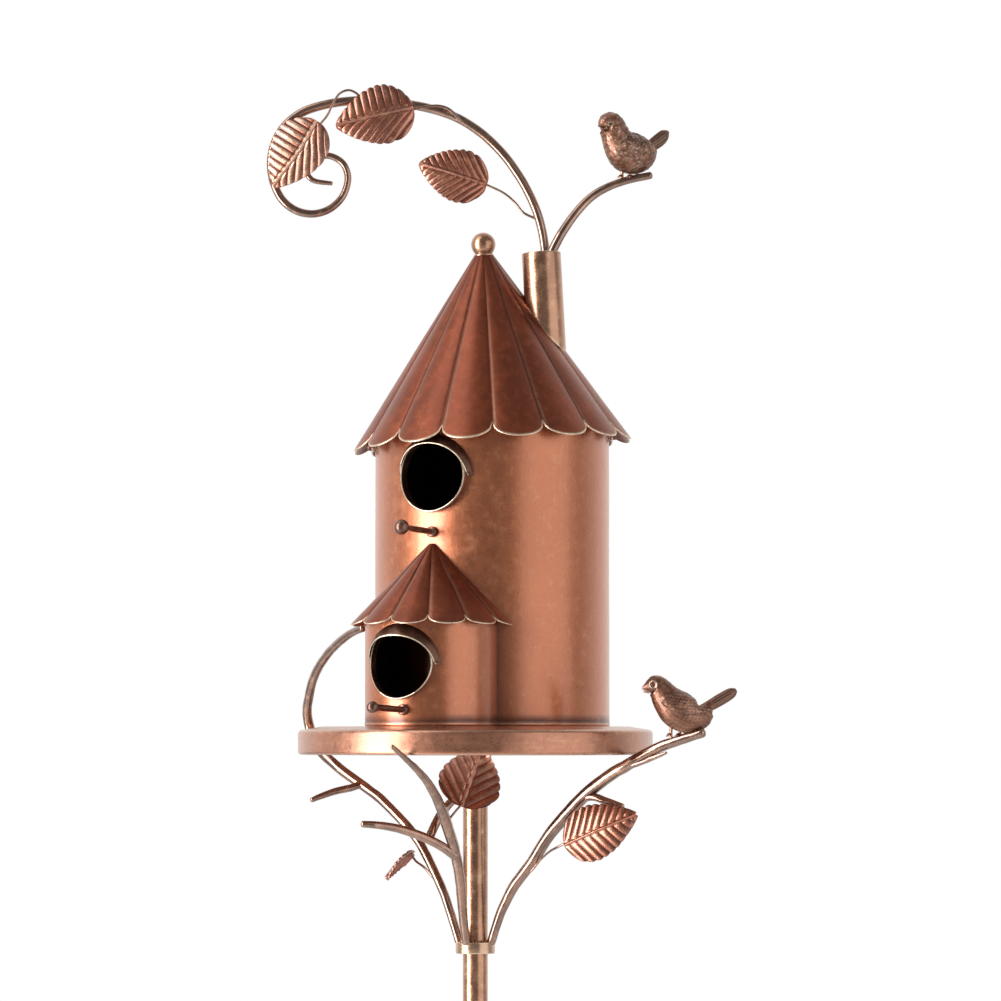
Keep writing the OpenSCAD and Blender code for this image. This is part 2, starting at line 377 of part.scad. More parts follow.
centre_spike();
prong_front();
prong_back();
prong_left();
prong_right();
pole_lower();
pole_middle();
pole_upper();
tray_socket();
branch_collar();
branch_left();
branch_front();
branch_right();
twig_left();
twig_front_low();
twig_front_back();
twig_right();
twig_right_tip();
tray();
tall_wall();
tall_collar();
tall_hood();
tall_perch();
small_wall();
small_roof();
small_collar();
small_hood();
small_perch();
tray_screws();
leaf_under_tray();
stem_under_tray();
leaf_left();
stem_left();
leaf_right();
stem_right();
bird_lower();
bird_lower_tail();
bird_lower_feet();
tall_roof();
finial();
roof_clips();
chimney();
chimney_cap();
scroll_arm();
bird_arm();
leaf_scroll_end();
stem_scroll_end();
leaf_scroll_top();
stem_scroll_top();
leaf_scroll_low();
stem_scroll_low();
bird_upper();
bird_upper_tail();
bird_upper_feet();
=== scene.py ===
import bpy, bmesh, math, random
import numpy as np
from mathutils import Vector, Matrix, noise


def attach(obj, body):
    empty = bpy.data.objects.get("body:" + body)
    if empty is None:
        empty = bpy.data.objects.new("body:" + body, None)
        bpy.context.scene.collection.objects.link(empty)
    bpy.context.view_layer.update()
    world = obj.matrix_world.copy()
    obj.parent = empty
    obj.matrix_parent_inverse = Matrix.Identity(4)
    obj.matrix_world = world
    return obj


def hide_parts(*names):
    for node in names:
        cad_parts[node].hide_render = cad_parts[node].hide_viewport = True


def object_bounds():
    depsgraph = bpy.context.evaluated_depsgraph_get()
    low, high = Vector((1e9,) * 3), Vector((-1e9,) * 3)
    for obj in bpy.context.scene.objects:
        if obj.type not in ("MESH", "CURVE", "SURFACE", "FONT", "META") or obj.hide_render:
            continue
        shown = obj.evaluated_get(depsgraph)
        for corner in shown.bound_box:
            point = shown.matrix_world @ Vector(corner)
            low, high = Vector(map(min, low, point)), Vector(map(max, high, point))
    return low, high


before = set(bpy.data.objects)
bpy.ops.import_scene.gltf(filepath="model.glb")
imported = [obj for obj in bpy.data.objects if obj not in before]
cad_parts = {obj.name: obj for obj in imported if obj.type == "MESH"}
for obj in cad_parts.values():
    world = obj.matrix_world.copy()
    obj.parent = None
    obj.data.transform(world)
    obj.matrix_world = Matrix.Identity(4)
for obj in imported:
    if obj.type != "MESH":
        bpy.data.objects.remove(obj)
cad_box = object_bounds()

MM = 0.001
VA = math.radians(32)
CV, SV = math.cos(VA), math.sin(VA)
PLATE = 1000.0
HOUSE_Y, HOUSE_R = 20.5, 76.0
PORCH_X, PORCH_Y, PORCH_R = 2.5, 20.5 - 76.0, 42.5
ROOF_R, ROOF_TIP, ROOF_RIM, LEAN = 89.5, 316.0, 185.0, math.radians(2.6)
HOLE_Z, HOLE_R = 158.5, 23.5
PHOLE_Z, PHOLE_R = 39.0, 22.5


def vp(u, w, z):
    return np.array([u * CV - w * SV, u * SV + w * CV, z + PLATE])


def vd(u, w, z):
    return np.array([u * CV - w * SV, u * SV + w * CV, z])


def unit(v):
    v = np.asarray(v, float)
    return v / max(np.linalg.norm(v), 1e-12)


def rot(axis, ang):
    return np.array(Matrix.Rotation(ang, 3, Vector(axis)))


# ------------------------------------------------------------------ materials
def nt_new(name):
    m = bpy.data.materials.new(name)
    m.use_nodes = True
    t = m.node_tree
    for n in list(t.nodes):
        t.nodes.remove(n)
    return m, t


class N:
    """Small helper round a node tree."""

    def __init__(s, t):
        s.t = t

    def add(s, kind, **kw):
        n = s.t.nodes.new(kind)
        for k, v in kw.items():
            setattr(n, k, v)
        return n

    def link(s, a, b):
        s.t.links.new(a, b)

    def noise(s, vec, scale, detail=4.0, rough=0.55, dist=0.0):
        n = s.add("ShaderNodeTexNoise")
        n.inputs["Scale"].default_value = scale
        n.inputs["Detail"].default_value = detail
        n.inputs["Roughness"].default_value = rough
        n.inputs["Distortion"].default_value = dist
        s.link(vec, n.inputs["Vector"])
        return n.outputs["Fac"]

    def ramp(s, fac, lo, hi, a=0.0, b=1.0):
        n = s.add("ShaderNodeMapRange", interpolation_type="SMOOTHSTEP", clamp=True)
        n.inputs["From Min"].default_value = lo
        n.inputs["From Max"].default_value = hi
        n.inputs["To Min"].default_value = a
        n.inputs["To Max"].default_value = b
        s.link(fac, n.inputs["Value"])
        return n.outputs["Result"]

    def math(s, op, a, b=None, clamp=False):
        n = s.add("ShaderNodeMath", operation=op, use_clamp=clamp)
        for i, v in enumerate((a, b)):
            if v is None:
                continue
            if isinstance(v, (int, float)):
                n.inputs[i].default_value = v
            else:
                s.link(v, n.inputs[i])
        return n.outputs[0]

    def mix(s, fac, a, b):
        n = s.add("ShaderNodeMix", data_type="RGBA")
        if isinstance(fac, (int, float)):
            n.inputs[0].default_value = fac
        else:
            s.link(fac, n.inputs[0])
        for i, v in ((6, a), (7, b)):
            if isinstance(v, tuple):
                n.inputs[i].default_value = (*v, 1.0)
            else:
                s.link(v, n.inputs[i])
        return n.outputs[2]

    def scaled(s, vec, sc, loc=(0, 0, 0)):
        n = s.add("ShaderNodeMapping")
        n.inputs["Scale"].default_value = sc
        n.inputs["Location"].default_value = loc
        s.link(vec, n.inputs["Vector"])
        return n.outputs["Vector"]

    def attr(s, name):
        n = s.add("ShaderNodeAttribute", attribute_name=name)
        return n.outputs["Fac"]


def srgb(r, g, b):
    def f(c):
        c /= 255.0
        return c / 12.92 if c <= 0.04045 else ((c + 0.055) / 1.055) ** 2.4

    return (f(r), f(g), f(b))


# cream: colour of pale rubbed rims and of painted highlights
CREAM = srgb(250, 228, 200)


def metal(name, base, dark, light, metallic=0.8, rough=(0.34, 0.52), streak=0.5, streak_axis="z", patch=0.5, bump=0.35,
          cream=CREAM, seed=0.0, grain=0.5, coat=0.5, coat_rough=0.24, coat_ior=1.8):
    m, t = nt_new(name)
    g = N(t)
    tc = g.add("ShaderNodeTexCoord").outputs["Object"]
    off = (seed * 1.7, seed * 0.9, seed * 2.3)
    v = g.scaled(tc, (1, 1, 1), off)
    sc = {"z": (1, 1, 0.07), "x": (0.07, 0.07, 1), "r": (1, 1, 1)}[streak_axis]
    vs = g.scaled(tc, sc, off)
    big = g.noise(v, 26, 3, 0.6, 0.4)
    mid = g.noise(v, 150, 5, 0.62, 0.3)
    fine = g.noise(v, 900, 4, 0.65)
    brush = g.noise(vs, 520, 4, 0.6)
    # colour: dark patina in broad patches, base metal, rubbed light flecks
    f_dark = g.ramp(g.math("ADD", g.math("MULTIPLY", big, 0.6), g.math("MULTIPLY", mid, 0.4)), 0.40, 0.58)
    col = g.mix(g.math("MULTIPLY", g.math("SUBTRACT", 1.0, f_dark), patch, True), base, dark)
    f_light = g.ramp(g.math("ADD", g.math("MULTIPLY", brush, streak), g.math("MULTIPLY", mid, 1.0 - streak)), 0.50, 0.70)
    col = g.mix(g.math("MULTIPLY", f_light, 0.75), col, light)
    col = g.mix(g.ramp(fine, 0.30, 0.75, grain * 0.55, 0.0), col, dark)
    # painted shade in creases, joins and recesses, with some darker tone, and pale rubbed rims with a painted highlight
    # come with the mesh as vertex attributes
    shade_and_dark_tone = g.math("MULTIPLY", g.attr("shade_and_dark_tone"), g.ramp(mid, 0.2, 0.6, 0.7, 1.0), True)
    col = g.mix(shade_and_dark_tone, col, tuple(c * 0.30 for c in dark))
    edge = g.math("MULTIPLY", g.attr("edge"), g.ramp(g.noise(v, 330, 3, 0.6), 0.28, 0.55, 0.55, 1.0), True)
    col = g.mix(edge, col, cream)
    r = g.ramp(g.math("ADD", g.math("MULTIPLY", mid, 0.6), g.math("MULTIPLY", fine, 0.4)), 0.32, 0.66, rough[0], rough[1])
    r = g.math("ADD", r, g.math("MULTIPLY", shade_and_dark_tone, 0.2), True)
    b1 = g.add("ShaderNodeBump")
    b1.inputs["Strength"].default_value = bump
    b1.inputs["Distance"].default_value = 0.0005
    h = g.math("ADD", g.math("MULTIPLY", fine, 0.45), g.math("MULTIPLY", mid, 0.8))
    h = g.math("ADD", h, g.math("MULTIPLY", brush, 0.45 * streak))
    g.link(h, b1.inputs["Height"])
    p = g.add("ShaderNodeBsdfPrincipled")
    g.link(col, p.inputs["Base Color"])
    g.link(r, p.inputs["Roughness"])
    p.inputs["Metallic"].default_value = metallic
    g.link(b1.outputs["Normal"], p.inputs["Normal"])
    p.inputs["Coat Weight"].default_value = coat
    p.inputs["Coat Roughness"].default_value = coat_rough
    p.inputs["Coat IOR"].default_value = coat_ior
    o = g.add("ShaderNodeOutputMaterial")
    g.link(p.outputs["BSDF"], o.inputs["Surface"])
    return m


MAT = {
    "wall": metal("wall_copper", srgb(200, 122, 82), srgb(166, 90, 58), srgb(216, 148, 110), streak=0.30, patch=0.22, rough=(0.27, 0.40), grain=0.85, metallic=0.9, bump=0.38, coat=0.65, coat_rough=0.22, coat_ior=1.7),
    "tray": metal("tray_copper", srgb(196, 126, 92), srgb(140, 86, 62), srgb(226, 164, 124), streak=0.45, streak_axis="x", patch=0.4, rough=(0.24, 0.38), seed=3, grain=0.6, metallic=0.9, coat=0.8, coat_rough=0.32),
    "roof": metal("roof_copper", srgb(150, 76, 48), srgb(116, 58, 38), srgb(172, 92, 60), streak=0.35, patch=0.5, rough=(0.32, 0.44), seed=5, metallic=0.85, grain=0.55, coat=0.25, coat_ior=1.5),
    "branch": metal("branch_copper", srgb(166, 118, 92), srgb(92, 64, 50), srgb(206, 164, 134), streak=0.3, patch=0.6, rough=(0.16, 0.26), seed=17, metallic=0.95, grain=0.3, bump=0.08, coat=1.0, coat_rough=0.12, coat_ior=2.0),
    # painted shade: the hoods' copper is darker than the wall's, for the shadow of the roof above them
    "hood": metal("hood_copper_painted_shade", srgb(112, 76, 60), srgb(74, 50, 40), srgb(146, 104, 82), streak=0.3, patch=0.6, rough=(0.34, 0.48), seed=6, metallic=0.85, coat=0.2, coat_ior=1.5),
    "rod": metal("rod_copper", srgb(196, 144, 112), srgb(130, 90, 70), srgb(232, 192, 158), streak=0.3, patch=0.5, rough=(0.22, 0.34), seed=8, metallic=0.95, grain=0.35, bump=0.15, coat=0.5, coat_rough=0.2),
    "dark": metal("dark_bronze", srgb(138, 92, 74), srgb(78, 52, 42), srgb(180, 132, 106), streak=0.3, patch=0.6, rough=(0.24, 0.40), seed=9, metallic=0.9, bump=0.2, coat=0.4),
    "leaf": metal("leaf_copper", srgb(190, 106, 76), srgb(110, 60, 44), srgb(228, 160, 122), streak=0.3, patch=0.4, rough=(0.24, 0.38), seed=11, metallic=0.9, bump=0.25, grain=0.35, coat=0.6, coat_rough=0.2),
    "bird": metal("bird_copper", srgb(158, 106, 82), srgb(98, 62, 50), srgb(206, 150, 120), streak=0.2, patch=0.55, rough=(0.32, 0.50), seed=12, metallic=0.85, coat=0.3),
    "screw": metal("screw_zinc", srgb(190, 186, 178), srgb(130, 126, 120), srgb(225, 222, 215), streak=0.2, patch=0.4, rough=(0.28, 0.42), seed=14, coat=0.0),
    # painted shade: dark dull finish on the inner wall faces, standing in for the shade inside the houses
    "dark_inside_shade": metal("inside_painted_shade", srgb(46, 34, 32), srgb(26, 20, 20), srgb(60, 44, 40), streak=0.2, patch=0.8, rough=(0.7, 0.9), seed=15, metallic=0.1, coat=0.0),
}


# ------------------------------------------------------------------ mesh tools
def add_mesh(name, verts, faces, mat, body, nodes=(), attrs=None, smooth=True, sharp=None, mats=None, face_mat=None):
    me = bpy.data.meshes.new(name)
    me.from_pydata([tuple(float(c) * MM for c in v) for v in verts], [], [tuple(f) for f in faces])
    me.validate(clean_customdata=False)
    for a in ("edge", "shade_and_dark_tone"):
        at = me.attributes.new(a, "FLOAT", "POINT")
        if attrs and a in attrs:
            at.data.foreach_set("value", np.asarray(attrs[a], np.float32)[: len(me.vertices)])
    me.update()
    ob = bpy.data.objects.new(name, me)
    bpy.context.scene.collection.objects.link(ob)
    for mm in (mats or [mat]):
        me.materials.append(MAT[mm] if isinstance(mm, str) else mm)
    if face_mat is not None:
        me.polygons.foreach_set("material_index", np.asarray(face_mat, np.int32))
    me.polygons.foreach_set("use_smooth", [smooth] * len(me.polygons))
    if sharp is not None:
        bm = bmesh.new(); bm.from_mesh(me)
        for e in bm.edges:
            if len(e.link_faces) == 2 and e.calc_face_angle(0) > math.radians(sharp):
                e.smooth = False
        bm.to_mesh(me); bm.free()
    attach(ob, body)
    if nodes:
        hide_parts(*nodes)
    return ob


class Mesh:
    """Collects vertices, faces and per-vertex attributes."""

    def __init__(s):
        s.v, s.f, s.e, s.g = [], [], [], []
        s.fm = []
        s.cur = 0

    def grid(s, P, E=None, G=None, wrap_u=False, wrap_v=False, cap0=False, cap1=False, flip=False, mat=None):
        P = np.asarray(P, float)
        nu, nv = P.shape[:2]
        o = len(s.v)
        s.v.extend(P.reshape(-1, 3).tolist())
        s.e.extend((np.zeros((nu, nv)) if E is None else np.broadcast_to(E, (nu, nv))).reshape(-1).tolist())
        s.g.extend((np.zeros((nu, nv)) if G is None else np.broadcast_to(G, (nu, nv))).reshape(-1).tolist())
        new = []
        for i in range(nu if wrap_u else nu - 1):
            for j in range(nv if wrap_v else nv - 1):
                a = o + i * nv + j
                b = o + i * nv + (j + 1) % nv
                c = o + ((i + 1) % nu) * nv + (j + 1) % nv
                d = o + ((i + 1) % nu) * nv + j
                new.append((a, b, c, d) if not flip else (d, c, b, a))
        if cap0:
            new.append(tuple(range(o + nv - 1, o - 1, -1)) if not flip else tuple(range(o, o + nv)))
        if cap1:
            k = o + (nu - 1) * nv
            new.append(tuple(range(k, k + nv)) if not flip else tuple(range(k + nv - 1, k - 1, -1)))
        s.f.extend(new)
        s.fm.extend([s.cur if mat is None else mat] * len(new))
        return o

    def make(s, name, mat, body, nodes=(), sharp=None, mats=None, move=None):
        V = np.array(s.v)
        if move is not None:
            V = move(V)
        return add_mesh(name, V, s.f, mat, body, nodes, {"edge": s.e, "shade_and_dark_tone": s.g}, sharp=sharp, mats=mats, face_mat=s.fm if mats else None)


def lathe(M, prof, n=96, centre=(0, 0, 0), E=None, G=None, frame3=None, mat=None):
    """prof: list of (r, z), outside seen with z running upwards; closes round the axis."""
    prof = np.asarray(prof, float)
    a = np.linspace(0, 2 * math.pi, n, endpoint=False)
    P = np.zeros((len(prof), n, 3))
    P[..., 0] = prof[:, 0:1] * np.cos(a)[None]
    P[..., 1] = prof[:, 0:1] * np.sin(a)[None]
    P[..., 2] = prof[:, 1:2]
    if frame3 is not None:
        P = P @ np.asarray(frame3).T
    P = P + np.asarray(centre, float)
    Eg = None if E is None else np.asarray(E, float)[:, None]
    Gg = None if G is None else np.asarray(G, float)[:, None]
    M.grid(P, Eg, Gg, wrap_v=True, mat=mat)


def rounded(prof, r=0.4, n=4):
    """Rounds the corners of an open profile polyline."""
    prof = [np.array(p, float) for p in prof]
    out = [prof[0]]
    for i in range(1, len(prof) - 1):
        a, b, c = prof[i - 1], prof[i], prof[i + 1]
        la, lc = np.linalg.norm(a - b), np.linalg.norm(c - b)
        rr = min(r, la * 0.45, lc * 0.45)
        if rr < 1e-6:
            out.append(b); continue
        p0, p1 = b + (a - b) / la * rr, b + (c - b) / lc * rr
        for k in range(n + 1):
            t = k / n
            out.append((1 - t) ** 2 * p0 + 2 * t * (1 - t) * b + t * t * p1)
    out.append(prof[-1])
    return out


def catmull(pts, k):
    p = [np.asarray(q, float) for q in pts]
    n = len(p) - 1
    out = []
    for i in range(n):
        a, b, c, d = p[max(i - 1, 0)], p[i], p[i + 1], p[min(i + 2, n)]
        for j in range(k):
            t = j / k
            out.append(0.5 * ((2 * b) + (c - a) * t + (2 * a - 5 * b + 4 * c - d) * t * t + (3 * b - a - 3 * c + d) * t ** 3))
    out.append(p[-1])
    return np.array(out)


def fn(v, s, seed=0.0):
    return noise.noise(Vector((v[0] * s + seed, v[1] * s + seed * 1.3, v[2] * s - seed * 0.7)))


def sweep(M, path, radii, sides=20, ref=(0, 0, 1), flat=0.0, rough=0.0, cap=True, edge_fn=None, seed=0.0, squash=None, mat=None):
    """Round bar along path; radii per point. Ends are domed."""
    path = np.asarray(path, float)
    n = len(path)
    T = np.zeros_like(path)
    T[1:-1] = path[2:] - path[:-2]
    T[0] = path[1] - path[0]
    T[-1] = path[-1] - path[-2]
    T /= np.linalg.norm(T, axis=1)[:, None]
    # parallel transport frame
    A = np.zeros_like(path)
    a = np.cross(np.asarray(ref, float), T[0]); a /= np.linalg.norm(a)
    A[0] = a
    for i in range(1, n):
        a = A[i - 1] - T[i] * np.dot(A[i - 1], T[i])
        A[i] = a / np.linalg.norm(a)
    B = np.cross(T, A)
    rows, rr = [], []
    if cap:
        for q in (0.985, 0.9, 0.7, 0.4):
            c = math.sqrt(1 - q * q)
            rows.append((path[0] - T[0] * radii[0] * q * 0.7, 0, radii[0] * c))
    for i in range(n):
        rows.append((path[i], i, radii[i]))
    if cap:
        for q in (0.4, 0.7, 0.9, 0.985):
            c = math.sqrt(1 - q * q)
            rows.append((path[-1] + T[-1] * radii[-1] * q * 0.7, n - 1, radii[-1] * c))
    ang = np.linspace(0, 2 * math.pi, sides, endpoint=False)
    P = np.zeros((len(rows), sides, 3))
    for k, (c, i, r) in enumerate(rows):
        s2 = 1.0 if squash is None else squash[i]
        P[k] = c + r * (np.cos(ang)[:, None] * A[i] + s2 * np.sin(ang)[:, None] * B[i])
    if rough:
        for k in range(len(rows)):
            c, i, r = rows[k]
            for j in range(sides):
                d = P[k, j] - c
                f = 1 + rough / max(r, 0.5) * (fn(P[k, j], 0.22, seed) + 0.5 * fn(P[k, j], 0.7, seed + 5))
                P[k, j] = c + d * f
    E = None
    if edge_fn is not None:
        E = np.array([[edge_fn(k / (len(rows) - 1), ang[j]) for j in range(sides)] for k in range(len(rows))])
    M.grid(P, E, None, wrap_v=True, cap0=True, cap1=True, mat=mat)
    return P


def blob(M, c, r, seed=0.0, stretch=(1, 1, 1), amp=0.12, n=14, edge=0.0, mat=None):
    """Small weld bead or pebble."""
    c = np.asarray(c, float)
    th = np.linspace(0.02, math.pi - 0.02, n)
    a = np.linspace(0, 2 * math.pi, n * 2, endpoint=False)
    P = np.zeros((n, n * 2, 3))
    for i in range(n):
        for j in range(n * 2):
            d = np.array([math.sin(th[i]) * math.cos(a[j]), math.sin(th[i]) * math.sin(a[j]), -math.cos(th[i])]) * np.array(stretch)
            P[i, j] = c + d * r * (1 + amp * fn(c + d * r, 0.8, seed))
    M.grid(P, edge if edge else None, None, wrap_v=True, cap0=True, cap1=True, mat=mat)


# ------------------------------------------------------------------ pole and stake
def pole_piece(name, node, body, z0, z1, spigot, seed):
    M = Mesh()
    ro, ri, rs = 8.0, 7.0, 6.95
    n = max(6, int((z1 - z0) / 12))
    out = []
    if spigot:
        out += [(rs - 1, z0 - 55), (rs - 0.9, z0 - 55), (rs, z0 - 54), (rs, z0 - 0.6), (rs + 0.2, z0 - 0.15), (ro - 0.5, z0 + 0.02)]
    else:
        out += [(ri, z0), (ro - 0.5, z0)]
    out += [(ro - 0.1, z0 + 0.2), (ro, z0 + 0.6)]
    out += [(ro, z) for z in np.linspace(z0 + 4, z1 - 3, n)]
    out += [(ro, z1 - 0.6), (ro - 0.15, z1 - 0.1), (ro - 0.5, z1), (ri + 0.3, z1), (ri, z1 - 0.3)]
    inn = [(ri, z1 - 20), (ri, z0 + 6), (rs - 1, z0 + 3)] if spigot else [(ri, z1 - 30), (ri, z0)]
    prof = out + inn
    # tube ends: rubbed, with a painted highlight
    E = [0.0] * len(prof)
    for i, p in enumerate(prof):
        if p[1] > z1 - 0.8 or (spigot and abs(p[1] - z0) < 0.5):
            E[i] = 0.7
    lathe(M, prof + [prof[0]], 48, E=E + [0])
    return M.make(name, "rod", body, (node,), sharp=50)


pole_piece("pole_lower_tube", "pole_lower", "stake", 12.0, 380.0, False, 1)
pole_piece("pole_middle_tube", "pole_middle", "mid_pole", 380.0, 780.0, True, 2)
pole_piece("pole_upper_tube", "pole_upper", "house", 780.0, 996.0, True, 3)

M = Mesh()
prof = [(0.05, -188), (1.2, -186), (6, -150)] + [(6, z) for z in range(-140, 5, 12)] + [(6, 11.2), (6.6, 12), (7, 12.6), (7, 45), (0.05, 45)]
# spike tip: rubbed, with a painted highlight
lathe(M, prof, 40, E=[0.6 if i < 3 else 0 for i in range(len(prof))])
# profile for a weld collar where the prongs meet the pole; it is not built
ring = [(8.0, 24.5), (9.6, 25.6), (10.2, 28), (10.2, 32), (9.6, 34.4), (8.0, 35.5)]
M.make("centre_spike_bar", "dark", "stake", ("centre_spike",), sharp=45)
for k, nm in enumerate(("prong_right", "prong_back", "prong_left", "prong_front")):
    a = math.radians(90 * k)
    M = Mesh()
    b, zt, r = 22.0, 30.0, 62.0
    pts = [(7.4, 0, zt), (20, 0, zt), (32, 0, zt), (r - b, 0, zt)]
    for q in range(1, 10):
        t = q / 10 * math.pi / 2
        pts.append((r - b + b * math.sin(t), 0, zt - b + b * math.cos(t)))
    pts += [(r, 0, zt - b)] + [(r, 0, z) for z in range(-10, -140, -14)] + [(r, 0, -140), (r, 0, -152), (r, 0, -160)]
    P = np.array(pts)
    R = rot((0, 0, 1), a)
    rad = [4.0] * (len(P) - 2) + [2.2, 0.8]
    rad[-3] = 4.0
    sweep(M, P @ R.T, rad, 20, ref=R @ np.array([0, 1, 0.01]), rough=0.05, seed=k * 3.0)
    c = R @ np.array([8.6, 0, zt])
    for q in range(10):
        t = q / 10 * 2 * math.pi
        d = R @ np.array([0.15, 4.2 * math.cos(t), 4.2 * math.sin(t)])
        blob(M, c + d, 1.35, seed=q + k * 7.1, amp=0.3, n=8)
    M.make(nm + "_bar", "dark", "stake", (nm,))

# ------------------------------------------------------------------ collar and tray underside
M = Mesh()
prof = rounded([(8.05, 855), (12.6, 855), (12.6, 862.5), (8.05, 862.5)], 0.9)
# ring faintly rubbed all over, its outer corners rubbed with a painted highlight
lathe(M, prof + [prof[0]], 56, E=[0.25 + 0.5 * (p[0] > 11.9 and (p[1] > 861.7 or p[1] < 855.9)) for p in prof] + [0.25])
for q in range(26):
    t = q / 26 * 2 * math.pi
    blob(M, (8.5 * math.cos(t), 8.5 * math.sin(t), 862.6), 1.0, seed=q * 1.7, amp=0.35, n=7)
M.make("branch_collar_ring", "rod", "house", ("branch_collar",), sharp=50)

M = Mesh()
prof = rounded([(8.05, 971), (10.2, 971), (10.2, 996), (30, 996), (30, 999), (0.05, 999)], 0.8)
lathe(M, prof, 64)
M.make("tray_socket_flange", "dark", "house", ("tray_socket",), sharp=50)

# tray: turned-down pan
M = Mesh()
R0, H = 114.0, 18.0
prof = [(0.05, 0.0)] + [(r, 0.0) for r in np.linspace(8, 97, 12)] + [(98.5, -0.02)] + [(r, -2.0 * (r - 98.5) / 12.5 - 0.02) for r in (100, 103, 106, 109)]
prof += [(R0 - 3 + 3 * math.sin(t), -5 + 3 * math.cos(t)) for t in np.linspace(0.16, math.pi / 2, 7)]
prof += [(R0, z) for z in np.linspace(-6, -H + 3.4, 6)]
prof += [(R0 - 2.2 + 2.2 * math.cos(t), -H + 2.2 - 2.2 * math.sin(t)) for t in np.linspace(0.1, math.pi, 10)]
prof += [(R0 - 2.6, -H + 4), (R0 - 1.5, -H + 6), (R0 - 1.3, -6.5), (R0 - 2.4, -4.2), (R0 - 4, -3.1), (98.5, -1), (60, -1), (0.05, -1)]
# rim shoulder and lower rim: rubbed, with a painted highlight
E = []
for (r, z) in prof:
    e = 0.0
    if r > R0 - 3.2 and -3.4 < z < -1.9: e = 0.25
    if z < -H + 0.7 and r > R0 - 3: e = 0.35
    E.append(e)
lathe(M, [(r, z + PLATE) for r, z in prof], 180, E=E)
V = np.array(M.v)
for i, v in enumerate(V):     # hand-spun sheet is never quite true
    w = 0.22 * fn(v, 0.02, 4) + 0.06 * fn(v, 0.09, 9)
    if math.hypot(v[0], v[1]) > 100:
        V[i, :2] *= 1 - max(0.0, 0.0012 + w * 0.002)
M.v = V.tolist()
M.make("tray_pan", "tray", "house", ("tray",), sharp=60)

M = Mesh()
for a in (45, 135, 225, 315):
    c = np.array([22 * math.cos(math.radians(a)), 22 * math.sin(math.radians(a)), PLATE])
    lathe(M, [(0.05, 2.4), (1.4, 2.3), (2.6, 1.9), (3.6, 1.1), (4, 0.4), (3.9, 0.02), (2, 0.01), (2, -9), (0.05, -9)][::-1], 24, centre=c)
    Rm = rot((0, 0, 1), math.radians(20 + a))
    hexp = [(4 / math.cos(math.radians(30)) * math.cos(math.radians(60 * i)), 4 / math.cos(math.radians(30)) * math.sin(math.radians(60 * i))) for i in range(6)]
    P = np.zeros((4, 6, 3))
    for k, (z, s) in enumerate(((-7.4, 0.92), (-7.0, 1), (-4.6, 1), (-4.2, 0.92))):
        P[k, :, 0] = [h[0] * s * 0.86 for h in hexp]; P[k, :, 1] = [h[1] * s * 0.86 for h in hexp]; P[k, :, 2] = z
    M.grid(P @ Rm.T + c, wrap_v=True, cap0=True, cap1=True)
M.make("tray_screw_set", "screw", "house", ("tray_screws",), sharp=40)


